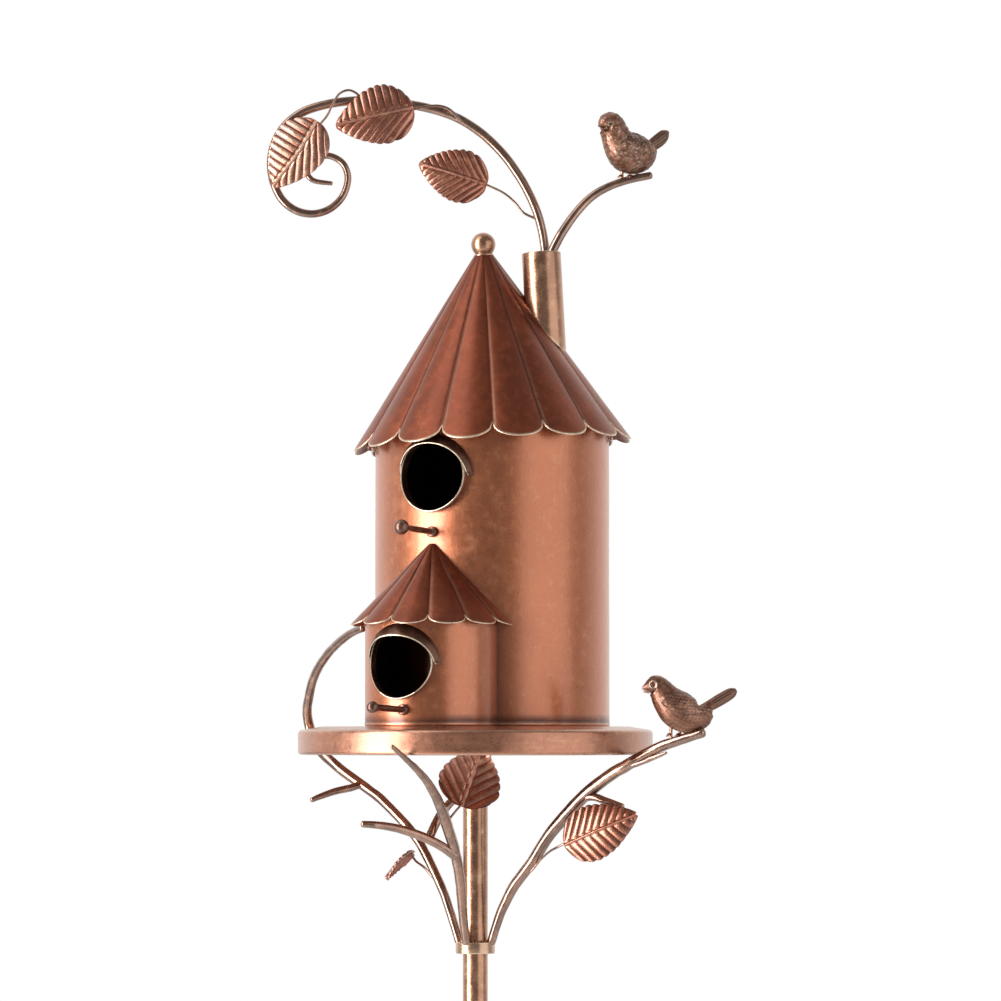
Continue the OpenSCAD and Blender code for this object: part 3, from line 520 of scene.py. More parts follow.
# ------------------------------------------------------------------ houses
def shell_wall(name, node, cx, cy, R, h, t, cuts, inner_wall=None, arc=None, seam_at=None, bead=True):
    """Sheet wall with a rolled bead at the foot. cuts: (angle deg from -Y, z, radius)."""
    M = Mesh()
    n = 240 if arc is None else 150
    zs = np.concatenate([[0.1, 0.5, 1.0, 1.6, 2.4, 3.0, 3.6], np.linspace(8, h - 6, int(h / 6)), [h - 3, h - 1, h - 0.4, h]])
    if arc is None:
        th = np.linspace(0, 2 * math.pi, n, endpoint=False)
    else:
        th = np.linspace(arc[0], arc[1], n)
    outer = np.zeros((len(zs), n, 3)); inner = np.zeros_like(outer)
    E = np.zeros((len(zs), n)); G = np.zeros_like(E)
    for i, z in enumerate(zs):
        for j, a in enumerate(th):
            dent = 0.35 * fn((math.cos(a) * 40, math.sin(a) * 40, z), 0.02, 2) + 0.10 * fn((math.cos(a) * R, math.sin(a) * R, z), 0.08, 7)
            f = min(1.0, min(z, h - z) / 12)
            rr = R - max(0.0, 0.18 + dent * f * 0.5)
            if bead and z < 3.2:
                rr = R - 0.2 + 0.55 * math.sin(math.pi * min(1, z / 3.2)) ** 0.8 - 0.25
            outer[i, j] = (cx + rr * math.cos(a), cy + rr * math.sin(a), PLATE + z)
            inner[i, j] = (cx + (rr - t) * math.cos(a), cy + (rr - t) * math.sin(a), PLATE + z)
            # bead crest and top rim: rubbed, with a painted highlight; the crease above the bead: painted shade
            E[i, j] = 0.22 if (bead and 1.0 <= z <= 2.2) else (0.3 if z > h - 0.6 else 0)
            G[i, j] = 0.9 if (bead and 2.4 <= z <= 3.7) else 0
            if bead and arc is None and z < 66 and math.hypot(outer[i, j, 0] - PORCH_X, outer[i, j, 1] - PORCH_Y) < PORCH_R - 0.4:
                E[i, j], G[i, j] = 0.0, 1.0      # in the shade inside the small house
            elif bead and arc is None and z < 72:    # painted shade where the two walls meet
                G[i, j] = max(G[i, j], 0.75 * math.exp(-max(0.0, math.hypot(outer[i, j, 0] - PORCH_X, outer[i, j, 1] - PORCH_Y) - PORCH_R) / 7.0))
            elif bead and arc is not None:
                # painted shade at the arc's ends, where the small wall meets the tall wall
                G[i, j] = max(G[i, j], 0.7 * math.exp(-min(j, n - 1 - j) / 7.0))
    o1 = M.grid(outer, E, G, wrap_v=arc is None)
    # inner faces take the dark inside finish: painted shade
    o2 = M.grid(inner, 0, 0, wrap_v=arc is None, flip=True, mat=1)
    nz = len(zs)
    for k in (0, nz - 1):
        for j in range(n if arc is None else n - 1):
            a, b = o1 + k * n + j, o1 + k * n + (j + 1) % n
            c, d = o2 + k * n + (j + 1) % n, o2 + k * n + j
            M.f.append((a, b, c, d) if k else (d, c, b, a)); M.fm.append(0)
    if arc is not None:
        # the arc's cut ends also take the dark inside finish: painted shade
        for j in (0, n - 1):
            for k in range(nz - 1):
                a, b = o1 + k * n + j, o1 + (k + 1) * n + j
                c, d = o2 + (k + 1) * n + j, o2 + k * n + j
                M.f.append((a, b, c, d) if j == 0 else (d, c, b, a)); M.fm.append(1)
    ob = M.make(name, "wall", "house", (node,), mats=["wall", "dark_inside_shade"], sharp=60)
    for (deg, z, r) in cuts:
        bm = bmesh.new()
        bmesh.ops.create_cone(bm, cap_ends=True, segments=96, radius1=r * MM, radius2=r * MM, depth=(R + 40) * MM)
        me = bpy.data.meshes.new("cut"); bm.to_mesh(me); bm.free()
        c = bpy.data.objects.new("cut", me)
        bpy.context.scene.collection.objects.link(c)
        c.matrix_world = Matrix.Translation(Vector((cx, cy, PLATE + z)) * MM) @ Matrix.Rotation(math.radians(deg), 4, "Z") @ Matrix.Rotation(math.radians(90), 4, "X") @ Matrix.Translation(Vector((0, 0, (R + 40) / 2)) * MM)
        bpy.context.view_layer.update()
        md = ob.modifiers.new("cut", "BOOLEAN"); md.object = c; md.operation = "DIFFERENCE"; md.solver = "EXACT"
        dg = bpy.context.evaluated_depsgraph_get()
        new = bpy.data.meshes.new_from_object(ob.evaluated_get(dg))
        ob.modifiers.clear(); old = ob.data; ob.data = new; bpy.data.meshes.remove(old)
        bpy.data.objects.remove(c)
    return ob


SLOPE = (ROOF_TIP - ROOF_RIM + 4) / ROOF_R
HOUSE_H = ROOF_TIP - HOUSE_R * SLOPE - math.sqrt(1 + SLOPE * SLOPE) - HOUSE_R * math.sin(LEAN) - 0.1
PERCH_Z = HOLE_Z - HOLE_R - 12.3
PPERCH_Z = PHOLE_Z - PHOLE_R - 6.3
shell_wall("tall_wall_sheet", "tall_wall", 0, HOUSE_Y, HOUSE_R, HOUSE_H, 1.0, [(2, HOLE_Z, HOLE_R - 0.3), (2, PERCH_Z, 2.3)])
# small wall: arc that meets the tall wall
d = HOUSE_R + 0.15
ang = []
for a in np.linspace(0, 2 * math.pi, 3601):
    x, y = PORCH_X + PORCH_R * math.cos(a), PORCH_Y + PORCH_R * math.sin(a)
    if math.hypot(x, y - HOUSE_Y) > d - 0.5:
        ang.append(a)
ang = [a if a > math.pi / 2 else a + 2 * math.pi for a in ang]
shell_wall("small_wall_sheet", "small_wall", PORCH_X, PORCH_Y, PORCH_R, 70.0, 1.0, [(3, PHOLE_Z, PHOLE_R - 0.3), (3 + 4.87, PPERCH_Z, 2.3)], arc=(min(ang), max(ang)))


def entrance(name, node, cx, cy, turn, wr, r, z, out):
    """Collar tube whose lip follows the wall; the lip is rubbed bright and carries a painted highlight."""
    M = Mesh()
    n = 120
    Rz = rot((0, 0, 1), math.radians(turn))
    steps = [("o", -2.6), ("o", 0.0), ("o", out * 0.35), ("o", out * 0.7), ("o", out - 0.5), ("b", 0.35), ("b", 0.65), ("i", out - 0.5), ("i", out * 0.5), ("i", 0.0), ("i", -2.6)]
    P = np.zeros((len(steps), n, 3)); E = np.zeros((len(steps), n))
    for i, (k, p) in enumerate(steps):
        for j in range(n):
            a = 2 * math.pi * j / n
            rr = {"o": r, "b": r - 1.2 * p, "i": r - 1.2}[k]
            pp = out if k == "b" else p
            x = rr * math.sin(a)
            y = -math.sqrt((wr + pp) ** 2 - x * x)
            if k == "o" and p > 0: rr2 = rr
            P[i, j] = (x, y, rr * math.cos(a))
            E[i, j] = 0.9 if k == "b" else 0.0
    o = M.grid(P, E, None, wrap_v=True)
    k = o + (len(steps) - 1) * n
    for j in range(n):
        M.f.append((o + j, k + j, k + (j + 1) % n, o + (j + 1) % n)); M.fm.append(0)
    mv = lambda V: V @ Rz.T + np.array([cx, cy, PLATE + z])
    return M.make(name, "dark", "house", (node,), move=mv, sharp=55)


def hood(name, node, cx, cy, turn, wr, z, rb, rf, p):
    """Sheet eyelid over the upper half of an entrance."""
    M = Mesh()
    Rz = rot((0, 0, 1), math.radians(turn))
    na, nf = 96, 14
    def pt(a, f, off):
        s2 = math.sin(a) ** 2
        lip = rf + (rb - rf - 1.5) * s2
        r = rb + (lip - rb) * f + 1.2 * math.sin(math.pi * f) + off
        pr = -0.6 + f * (1.4 + p * max(math.cos(a), 0.0001) ** 0.45)
        x = r * math.sin(a)
        return (x, -math.sqrt(wr * wr - x * x) - pr, r * math.cos(a))
    prof = [(j / nf, 0.5) for j in range(nf + 1)] + [(1.012, 0.2), (1.012, -0.2)] + [(j / nf, -0.5) for j in range(nf, -1, -1)]
    P = np.zeros((na + 1, len(prof), 3)); E = np.zeros((na + 1, len(prof)))
    for i in range(na + 1):
        a = math.radians(-92 + 184 * i / na)
        for j, (f, off) in enumerate(prof):
            P[i, j] = pt(a, f, off)
            # lip: rubbed, with a painted highlight
            E[i, j] = 0.9 if f > 1.0 else 0.0
    M.grid(P, E, None, wrap_v=True, cap0=True, cap1=True)
    mv = lambda V: V @ Rz.T + np.array([cx, cy, PLATE + z])
    return M.make(name, "hood", "house", (node,), move=mv, sharp=60)


def perch(name, node, cx, cy, turn, wr, z, length, knob, off=0.0):
    M = Mesh()
    prof = [(0.05, -4.5), (2.1, -4.4), (2.1, 0.1)] + rounded([(2.1, 0.1), (3.5, 0.1), (3.5, 2.4), (2.0, 2.9)], 0.5) + [(2.0, 4), (2.05, length * 0.3), (2.1, length * 0.6), (2.15, length - knob - 0.4), (2.5, length - knob * 0.9)]
    a0 = math.asin(min(1, 2.5 / knob))
    prof += [(knob * math.sin(t), length - knob * math.cos(t)) for t in np.linspace(a0 + 0.1, math.pi - 0.03, 16)] + [(0.05, length + knob)]
    E = [0.0] * len(prof)
    L = rot((0, 0, 1), math.radians(turn)) @ rot((1, 0, 0), math.radians(88))
    c = rot((0, 0, 1), math.radians(turn)) @ np.array([off, off * off / 2 / wr - wr, 0]) + np.array([cx, cy, PLATE + z])
    lathe(M, prof, 40, centre=c, E=E, frame3=L)
    return M.make(name, "dark", "house", (node,), sharp=60)


entrance("tall_entrance_collar", "tall_collar", 0, HOUSE_Y, 2, HOUSE_R, HOLE_R, HOLE_Z, 4.5)
entrance("small_entrance_collar", "small_collar", PORCH_X, PORCH_Y, 3, PORCH_R, PHOLE_R, PHOLE_Z, 3.0)
hood("tall_entrance_hood", "tall_hood", 0, HOUSE_Y, 2, HOUSE_R, HOLE_Z, HOLE_R + 2.2, HOLE_R - 3.2, 7.4)
hood("small_entrance_hood", "small_hood", PORCH_X, PORCH_Y, 3, PORCH_R, PHOLE_Z, PHOLE_R + 2.2, PHOLE_R - 5.0, 7.0)
perch("tall_perch_peg", "tall_perch", 0, HOUSE_Y, 2, HOUSE_R, PERCH_Z, 38, 4.8)
perch("small_perch_peg", "small_perch", PORCH_X, PORCH_Y, 3, PORCH_R, PPERCH_Z, 38, 3.7, off=3.6)


# ------------------------------------------------------------------ lobed roofs
def lean(V):
    """The tall roof leans a little on its wall."""
    V = np.asarray(V, float)
    Rm = rot((-SV, CV, 0), -LEAN)
    c = np.array([0, HOUSE_Y, PLATE + ROOF_RIM])
    return (V - c) @ Rm.T + c


def roof(name, node, body, cx, cy, spin, rim_r, rim_z, tip_z, top_r, n, drop, bulge, t, move=None, clip=None, seam=0.9, bead=0.55):
    """Lobed cone of spun sheet: each lobe a shallow flute between creased seams, with a rubbed bead along the scalloped
    rim. The creases carry painted shade, one side of each seam a painted highlight, and the cut rim and bead a painted
    highlight over the rubbing.
    """
    M = Mesh()
    step = 22
    m = n * step
    slope = (tip_z - rim_z) / rim_r
    nt = np.array([1, 1 / slope]); nt = nt / np.linalg.norm(nt)
    nr = 30
    fs = np.concatenate([np.linspace(0, 0.975, nr - 2), [0.99, 1.0]])
    rr = rim_r - drop
    def lobe(i):
        f = 2 * (i % step) / step - 1
        return max(0.0, 1 - f * f)
    P = np.zeros((2 * nr + 2, m, 3)); E = np.zeros((2 * nr + 2, m)); G = np.zeros_like(E)
    sp = math.radians(spin)
    rows = [("o", f) for f in fs] + [("e", 0.33), ("e", 0.67)] + [("i", f) for f in fs[::-1]]
    for k, (side, f) in enumerate(rows):
        for i in range(m):
            lb = lobe(i)
            R1 = rr + drop * math.sqrt(lb)
            ff = 1.0 if side == "e" else f
            r = top_r + (R1 - top_r) * ff
            b = bulge * lb * ff ** 0.8
            # crease line between lobes stands up a little where the sheet was pinched
            dd = min(i % step, step - i % step) / step
            pinch = -0.30 * math.exp(-(dd / 0.03) ** 2) * min(1.0, ff * 3)
            wob = 0.25 * fn((r * math.cos(i / m * 2 * math.pi), r * math.sin(i / m * 2 * math.pi), tip_z - r * slope), 0.05, spin) * min(1, ff * 2)
            off = b + pinch - max(0.0, 0.12 - wob * 0.4)
            if side == "i": off -= t
            if side == "e": off -= t * f
            a = sp + 2 * math.pi * i / m
            q = r + off * nt[0]
            P[k, i] = (cx + q * math.cos(a), cy + q * math.sin(a), PLATE + tip_z - r * slope + off * nt[1])
            if side == "o":
                # painted shade along each crease, a painted highlight on one side of each seam
                w = dd * 2 * math.pi * max(r, 6) / n
                G[k, i] = 0.62 * math.exp(-(w / 0.95) ** 2)
                sgn = 1 if (i % step) < step / 2 else -1
                E[k, i] = 0.16 * math.exp(-((w - 1.5) / 0.7) ** 2) * (0.5 + 0.5 * sgn) * ff
            # cut rim: rubbed, with a painted highlight
            if side == "e": E[k, i] = 0.55
            if side == "o" and ff > 0.999: E[k, i] = 0.45
    o = M.grid(P, E, G, wrap_v=True)
    k2 = o + (len(rows) - 1) * m
    for j in range(m):
        M.f.append((o + j, k2 + j, k2 + (j + 1) % m, o + (j + 1) % m)); M.fm.append(0)
    for idx in range(o, len(M.v)):
        pass
    # rolled rim bead
    path = []
    for i in range(m):
        lb = lobe(i); R1 = rr + drop * math.sqrt(lb)
        off = bulge * lb - t * 0.5
        a = sp + 2 * math.pi * i / m
        path.append((cx + (R1 + off * nt[0]) * math.cos(a), cy + (R1 + off * nt[0]) * math.sin(a), PLATE + tip_z - R1 * slope + off * nt[1]))
    path = np.array(path)
    prev, nxt = np.roll(path, 1, 0), np.roll(path, -1, 0)
    T = nxt - prev; T /= np.linalg.norm(T, axis=1)[:, None]
    rad = path - np.array([cx, cy, 0]); rad[:, 2] = 0; rad /= np.linalg.norm(rad, axis=1)[:, None]
    A = rad - T * np.sum(rad * T, 1)[:, None]; A /= np.linalg.norm(A, axis=1)[:, None]
    B = np.cross(T, A)
    s = 10
    ang = np.linspace(0, 2 * math.pi, s, endpoint=False)
    Q = path[:, None, :] + bead * (np.cos(ang)[None, :, None] * A[:, None, :] + np.sin(ang)[None, :, None] * B[:, None, :])
    # rim bead: rubbed, with a painted highlight
    M.grid(Q, 0.85, None, wrap_u=True, wrap_v=True)
    ob = M.make(name, "roof", body, (node,), move=move, sharp=70)
    if clip is not None:
        bm = bmesh.new()
        bmesh.ops.create_cone(bm, cap_ends=True, segments=160, radius1=clip[2] * MM, radius2=clip[2] * MM, depth=0.5)
        me = bpy.data.meshes.new("cut"); bm.to_mesh(me); bm.free()
        c = bpy.data.objects.new("cut", me); bpy.context.scene.collection.objects.link(c)
        c.matrix_world = Matrix.Translation(Vector((clip[0], clip[1], PLATE + 60)) * MM)
        bpy.context.view_layer.update()
        md = ob.modifiers.new("cut", "BOOLEAN"); md.object = c; md.operation = "DIFFERENCE"; md.solver = "EXACT"; md.use_self = True
        dg = bpy.context.evaluated_depsgraph_get()
        new = bpy.data.meshes.new_from_object(ob.evaluated_get(dg))
        ob.modifiers.clear(); old = ob.data; ob.data = new; bpy.data.meshes.remove(old); bpy.data.objects.remove(c)
    return ob


roof("tall_roof_sheet", "tall_roof", "roof", 0, HOUSE_Y, 9.5, ROOF_R, ROOF_RIM - 4, ROOF_TIP, 6, 16, 7, 1.7, 1.0, move=lean)
roof("small_roof_sheet", "small_roof", "house", PORCH_X, PORCH_Y, -0.7, 51, 63, 117.5, 2, 12, 6, 1.6, 1.0, clip=(0, HOUSE_Y, HOUSE_R + 0.2), bead=0.48)

M = Mesh()
prof = [(0.05, -14), (3.6, -14), (3.6, -11.4)] + rounded([(3.6, -11.2), (6.5, -11.2), (6.5, -9.2), (5.2, -8)], 0.6) + [(4.3, -8.1)]
a0 = math.asin(4.3 / 8)
prof += [(7.95 * math.sin(t), -2.6 - 7.95 * math.cos(t)) for t in np.linspace(a0 + 0.06, math.pi - 0.03, 24)] + [(0.05, 5.35)]
# collar rim rubbed, with a painted highlight; painted shade where the ball meets the collar
lathe(M, prof, 56, centre=(0, HOUSE_Y, PLATE + ROOF_TIP), E=[0.25 if abs(p[1] + 9) < 0.8 else 0 for p in prof], G=[0.5 if abs(p[1] + 8.1) < 0.5 else 0 for p in prof])
M.make("finial_ball", "rod", "roof", ("finial",), move=lean, sharp=60)

# ------------------------------------------------------------------ chimney, cap and roof lugs
CH_TOP, CH_FOOT = vp(42.6, 9.2, 307), vp(46.8, 9.2, 230)


def cone_gap(p):
    """Height of p above the tall roof's plain cone, along z."""
    c = np.array([0, HOUSE_Y, PLATE + ROOF_RIM])
    q = (np.asarray(p) - c) @ rot((-SV, CV, 0), LEAN).T + c
    r = np.hypot(q[..., 0], q[..., 1] - HOUSE_Y)
    return q[..., 2] - (PLATE + ROOF_TIP - r * SLOPE)


M = Mesh()
d = unit(CH_TOP - CH_FOOT); L = np.linalg.norm(CH_TOP - CH_FOOT)
A = unit(np.cross(d, [0, 1, 0.1])); B = np.cross(d, A)
n = 72
th = np.linspace(0, 2 * math.pi, n, endpoint=False)
def foot_t(r, off):
    t = np.zeros(n)
    for j in range(n):
        lo, hi = -30.0, L
        for _ in range(40):
            mid = (lo + hi) / 2
            p = CH_FOOT + d * mid + r * (math.cos(th[j]) * A + math.sin(th[j]) * B)
            if cone_gap(p) < off: lo = mid
            else: hi = mid
        t[j] = (lo + hi) / 2
    return t
to, ti = foot_t(12.7, 1.0), foot_t(11.5, 1.0)
rows = []
# the foot row and the top rim: rubbed, with a painted highlight
for k in range(26):
    f = k / 25
    rows.append((12.7, to + (L - 0.7 - to) * f, 0.0 if k else 0.5))
rows += [(12.55, np.full(n, L - 0.2), 1.0), (12.1, np.full(n, L + 0.0), 1.0), (11.65, np.full(n, L - 0.2), 1.0), (11.5, np.full(n, L - 0.8), 0.6)]
for k in range(8):
    f = k / 7
    rows.append((11.5, (L - 3) + (ti - (L - 3)) * f, 0.0))
P = np.zeros((len(rows), n, 3)); E = np.zeros((len(rows), n))
for k, (r, t, e) in enumerate(rows):
    for j in range(n):
        P[k, j] = CH_FOOT + d * t[j] + r * (math.cos(th[j]) * A + math.sin(th[j]) * B)
    E[k] = e
o = M.grid(P, E, None, wrap_v=True)
k2 = o + (len(rows) - 1) * n
for j in range(n):
    M.f.append((o + j, k2 + j, k2 + (j + 1) % n, o + (j + 1) % n)); M.fm.append(0)
M.make("chimney_tube", "rod", "roof", ("chimney",), sharp=55)

M = Mesh()
Lz = np.stack([A, B, d], 1)
lathe(M, rounded([(0.05, 0.35), (4, 0.3), (10.6, 0), (11.45, -0.2), (11.45, -2), (0.05, -2)], 0.4)[::-1], 56, centre=CH_TOP - d * 3, frame3=Lz)
M.make("chimney_plug", "dark", "roof", ("chimney_cap",), sharp=55)

M = Mesh()
for k, a in enumerate((VA, VA + math.pi)):
    Rz = rot((0, 0, 1), a)
    c = np.array([0, HOUSE_Y, PLATE + ROOF_RIM])
    # strap with rounded lower corners
    zt = ROOF_TIP - (HOUSE_R + 1.6) * SLOPE - 1.75 - ROOF_RIM
    out = []
    w = 5.0
    outline = [(-w, zt), (-w, -1.5)] + [(-w + 1.5 - 1.5 * math.cos(t), -1.5 - 1.5 * math.sin(t)) for t in np.linspace(0.2, math.pi / 2, 5)] + [(w - 1.5 + 1.5 * math.sin(t), -1.5 - 1.5 * math.cos(t)) for t in np.linspace(0, math.pi / 2 - 0.2, 5)] + [(w, -1.5), (w, zt)]
    P = np.zeros((4, len(outline), 3)); E = np.zeros((4, len(outline)))
    for q, (x, s) in enumerate(((0.9, 0.96), (1.1, 1.0), (2.1, 1.0), (2.3, 0.96))):
        for j, (y, z) in enumerate(outline):
            P[q, j] = (HOUSE_R + x, y * s, z)
        # strap outline: rubbed, with a painted highlight
        E[q] = 0.8 if q in (1, 2) else 0.2
    M.grid(P @ Rz.T + c, E, None, wrap_v=True, cap0=True, cap1=True)
    Lr = Rz @ np.array([[0, 0, 1], [0, 1, 0], [-1, 0, 0]], float).T
    prof = [(0.05, 1.4)] + [(3.2, 1.6)] + rounded([(3.2, 1.6), (3.2, 4.2), (2.4, 5.4), (0.05, 5.5)], 0.9)
    lathe(M, prof, 28, centre=c + Rz @ np.array([HOUSE_R, 0, 0.4]), frame3=Rz @ rot((0, 1, 0), math.pi / 2))
M.make("roof_lug_pair", "dark", "roof", ("roof_clips",), move=lean, sharp=50)


# ------------------------------------------------------------------ bars: branches, scroll, twigs, stems
def vps(l):
    return np.array([vp(*p) for p in l])


def bar(name, nodes, body, pts, r0, rm, r1, ref, k=8, sides=20, mat="branch", rough=0.10, seed=0.0, welds=(), tip=None, hl=0.0, squash=None):
    M = Mesh()
    q = catmull(pts, k)
    n = len(q) - 1
    rad = [r0 + (rm - r0) * (i / n) * 2 if i / n < 0.5 else rm + (r1 - rm) * (i / n - 0.5) * 2 for i in range(n + 1)]
    rad = [r - 0.02 - 0.03 * r for r in rad]
    if tip:
        for i in range(n + 1):
            f = (i / n - (1 - tip[0])) / tip[0]
            if f > 0: rad[i] *= 1 - (1 - tip[1]) * f
    sq = None
    if squash:
        sq = [1 - (1 - squash[1]) * max(0, (i / n - (1 - squash[0])) / squash[0]) for i in range(n + 1)]
    sweep(M, q, rad, sides, ref=ref, rough=rough, seed=seed, squash=sq)
    for (c, r, s) in welds:
        blob(M, vp(*c), r, seed=s, amp=0.22, n=10)
    return M.make(name, mat, body, nodes)


left_pts = [[-10.4, 4.8, -137.5], [-16.5, 10, -118], [-22, 14, -103], [-33, 21, -80.5], [-42, 26, -67], [-58, 36, -50.5], [-67, 42, -43], [-85, 54, -30.5], [-95, 61.5, -22.5], [-101, 67, -17], [-106, 71, -9], [-109.5, 72, 0],
    [-111, 68, 10], [-109.6, 61, 19], [-106.6, 50, 30], [-101.4, 37, 40], [-93.6, 22, 49.6], [-84.5, 5, 57], [-77.8, -6, 60.8], [-72, -15.3, 62.8]]
front_pts = [[-5.8, -9.9, -137.5], [-7.5, -15, -124], [-8.6, -20, -110], [-10, -27, -95], [-13, -35, -79], [-17, -46, -65], [-20.5, -57, -54], [-24.6, -69, -44], [-30, -82, -34.5], [-36, -96, -27], [-42.5, -108, -20.5], [-51, -119, -12.5]]
right_pts = [[10.2, -5.2, -137.5], [15.7, -9.4, -120], [19.8, -12, -111], [25, -15, -101], [36, -22, -86], [46, -28, -70], [54.5, -33, -59.5], [69.5, -43, -43], [85, -54, -30.5], [94, -60, -25], [103, -64.5, -19.5], [115, -71.5, -13], [128, -78, -8.3], [141, -84.5, -4]]
bar("branch_left_bar", ("branch_left",), "house", vps(left_pts), 2.9, 3.6, 2.6, vd(0, 1, 0), 6, 20, seed=1, rough=0.16)
bar("branch_front_bar", ("branch_front",), "house", vps(front_pts), 2.9, 3.8, 1.4, vd(1, 0, 0), 7, 20, seed=2, rough=0.16)
bar("branch_right_bar", ("branch_right",), "house", vps(right_pts), 2.9, 4.3, 3.2, vd(0, 1, 0), 7, 20, seed=3, rough=0.16)
bar("twig_left_bar", ("twig_left",), "house", vps([[-74, 47, -37], [-80, 43, -39.5], [-91, 38, -42], [-100, 34, -45], [-106, 30, -47.5]]), 2.6, 2.4, 1.8, vd(0, 1, 0), 8, 16, seed=4)
bar("twig_front_low_bar", ("twig_front_low",), "house", vps([[-13, -36, -81.5], [-21.5, -39, -75.5], [-30, -42, -71], [-41, -46, -66.5], [-52, -50, -63.5], [-63, -54, -61.8], [-70.5, -56, -61.3]]), 3.2, 3.0, 2.2, vd(0, 1, 0), 8, 16, seed=5)
bar("twig_front_back_bar", ("twig_front_back",), "house", vps([[-29, -38, -70], [-22.6, -34, -56.7], [-16.5, -33, -49], [-10, -33, -42.5]]), 3.0, 3.0, 2.4, vd(0, 1, 0), 8, 16, seed=6)
bar("twig_right_bar", ("twig_right",), "house", vps([[66, -41, -45.3], [74.5, -47, -44.5], [83, -51, -47.3], [92, -55, -50.5]]), 2.7, 2.6, 2.4, vd(0, 1, 0), 8, 16, seed=7)
bar("twig_right_tip_bar", ("twig_right_tip",), "house", vps([[95, -61, -25.5], [107.5, -69, -21], [119, -76, -16.5]]), 2.2, 1.9, 0.9, vd(0, 1, 0), 8, 16, seed=8)
scroll_pts = [[45.6, 16, 303.2], [45.1, 16, 311], [43.2, 16.2, 322.8], [39.9, 16, 334.5], [34.7, 17, 346.8], [28.2, 17.4, 358.5], [18.5, 17.4, 372], [5.5, 17.4, 385], [-8.8, 17.4, 394.8], [-23, 17.4, 400.7], [-39.3, 17.4, 404.6], [-58.8, 17.4, 407.2], [-78.2, 17.4, 407.8], [-97.7, 17.4, 405.2], [-114, 17.4, 399.5], [-126, 17.4, 389], [-132.5, 17.4, 374.7], [-132.8, 17.4, 359], [-127.6, 17.4, 345], [-118.5, 17.4, 336.4], [-106.8, 17.4, 333.4], [-95.5, 17.4, 336.4], [-86.7, 17.4, 344.8], [-83.2, 17.4, 356.5], [-86.5, 17.4, 366.5], [-95.5, 17.4, 371.5], [-105.5, 17.4, 369.5], [-110.2, 17.4, 362.5], [-106, 17.4, 355.5], [-94, 17.4, 353.4]]
bar("scroll_arm_bar", ("scroll_arm",), "roof", vps(scroll_pts), 3.1, 3.1, 2.0, vd(0, 1, 0), 6, 20, seed=9, rough=0.06, tip=(0.06, 0.75))
bar("bird_arm_bar", ("bird_arm",), "roof", vps([[48, 9.4, 303.2], [51.2, 9.2, 311], [57, 9.2, 321.5], [65.5, 9.5, 333.5], [75, 10.5, 343.5], [85.5, 11, 350], [98, 11.5, 354.6], [113.6, 12, 358]]), 3.4, 3.0, 2.5, vd(0, 1, 0), 8, 20, seed=10, rough=0.06)
bar("stem_under_tray_wire", ("stem_under_tray",), "house", vps([[-16.5, -46, -66], [-17.5, -52, -60.5], [-13, -52, -54], [-8.2, -48.2, -48.6]]), 0.9, 0.8, 0.8, vd(0, 1, 0), 8, 12, seed=11, rough=0.02)
bar("stem_left_wire", ("stem_left",), "house", vps([[-27.5, 18, -97], [-33, 23, -91], [-38.5, 27, -87], [-41.6, 27.2, -82.4]]), 0.9, 0.8, 0.8, vd(0, 1, 0), 8, 12, seed=12, rough=0.02)
bar("stem_right_wire", ("stem_right",), "house", vps([[29.2, -18, -96], [35.6, -22, -91.5], [41.2, -28, -84.5], [47, -36, -79], [52, -43, -76], [59, -48.1, -72.3]]), 0.9, 0.8, 0.8, vd(0, 1, 0), 8, 12, seed=13, rough=0.02)
bar("stem_scroll_end_wire", ("stem_scroll_end",), "roof", vps([[-74.5, 15.4, 406.2], [-76.4, 14.6, 411], [-82.4, 13.6, 414], [-88.6, 13, 411.7], [-92.6, 12, 405.4], [-96.8, 10.8, 396.6], [-102.6, 9.6, 389.6]]), 0.9, 0.8, 0.8, vd(0, 1, 0), 8, 12, seed=14, rough=0.02)
bar("stem_scroll_top_wire", ("stem_scroll_top",), "roof", vps([[-9.8, 15, 394.2], [-16.6, 13.4, 400.8], [-23, 12.4, 403.3], [-31, 11.2, 403], [-43.5, 10.3, 400.3]]), 1.3, 1.1, 0.9, vd(0, 1, 0), 8, 12, seed=15, rough=0.03)
bar("stem_scroll_low_wire", ("stem_scroll_low",), "roof", vps([[39.8, 15.6, 330], [31.5, 16.4, 334], [25.6, 17, 341], [17.9, 17, 347.4], [5.6, 17, 353.2]]), 0.9, 0.8, 0.8, vd(0, 1, 0), 8, 12, seed=16, rough=0.02)


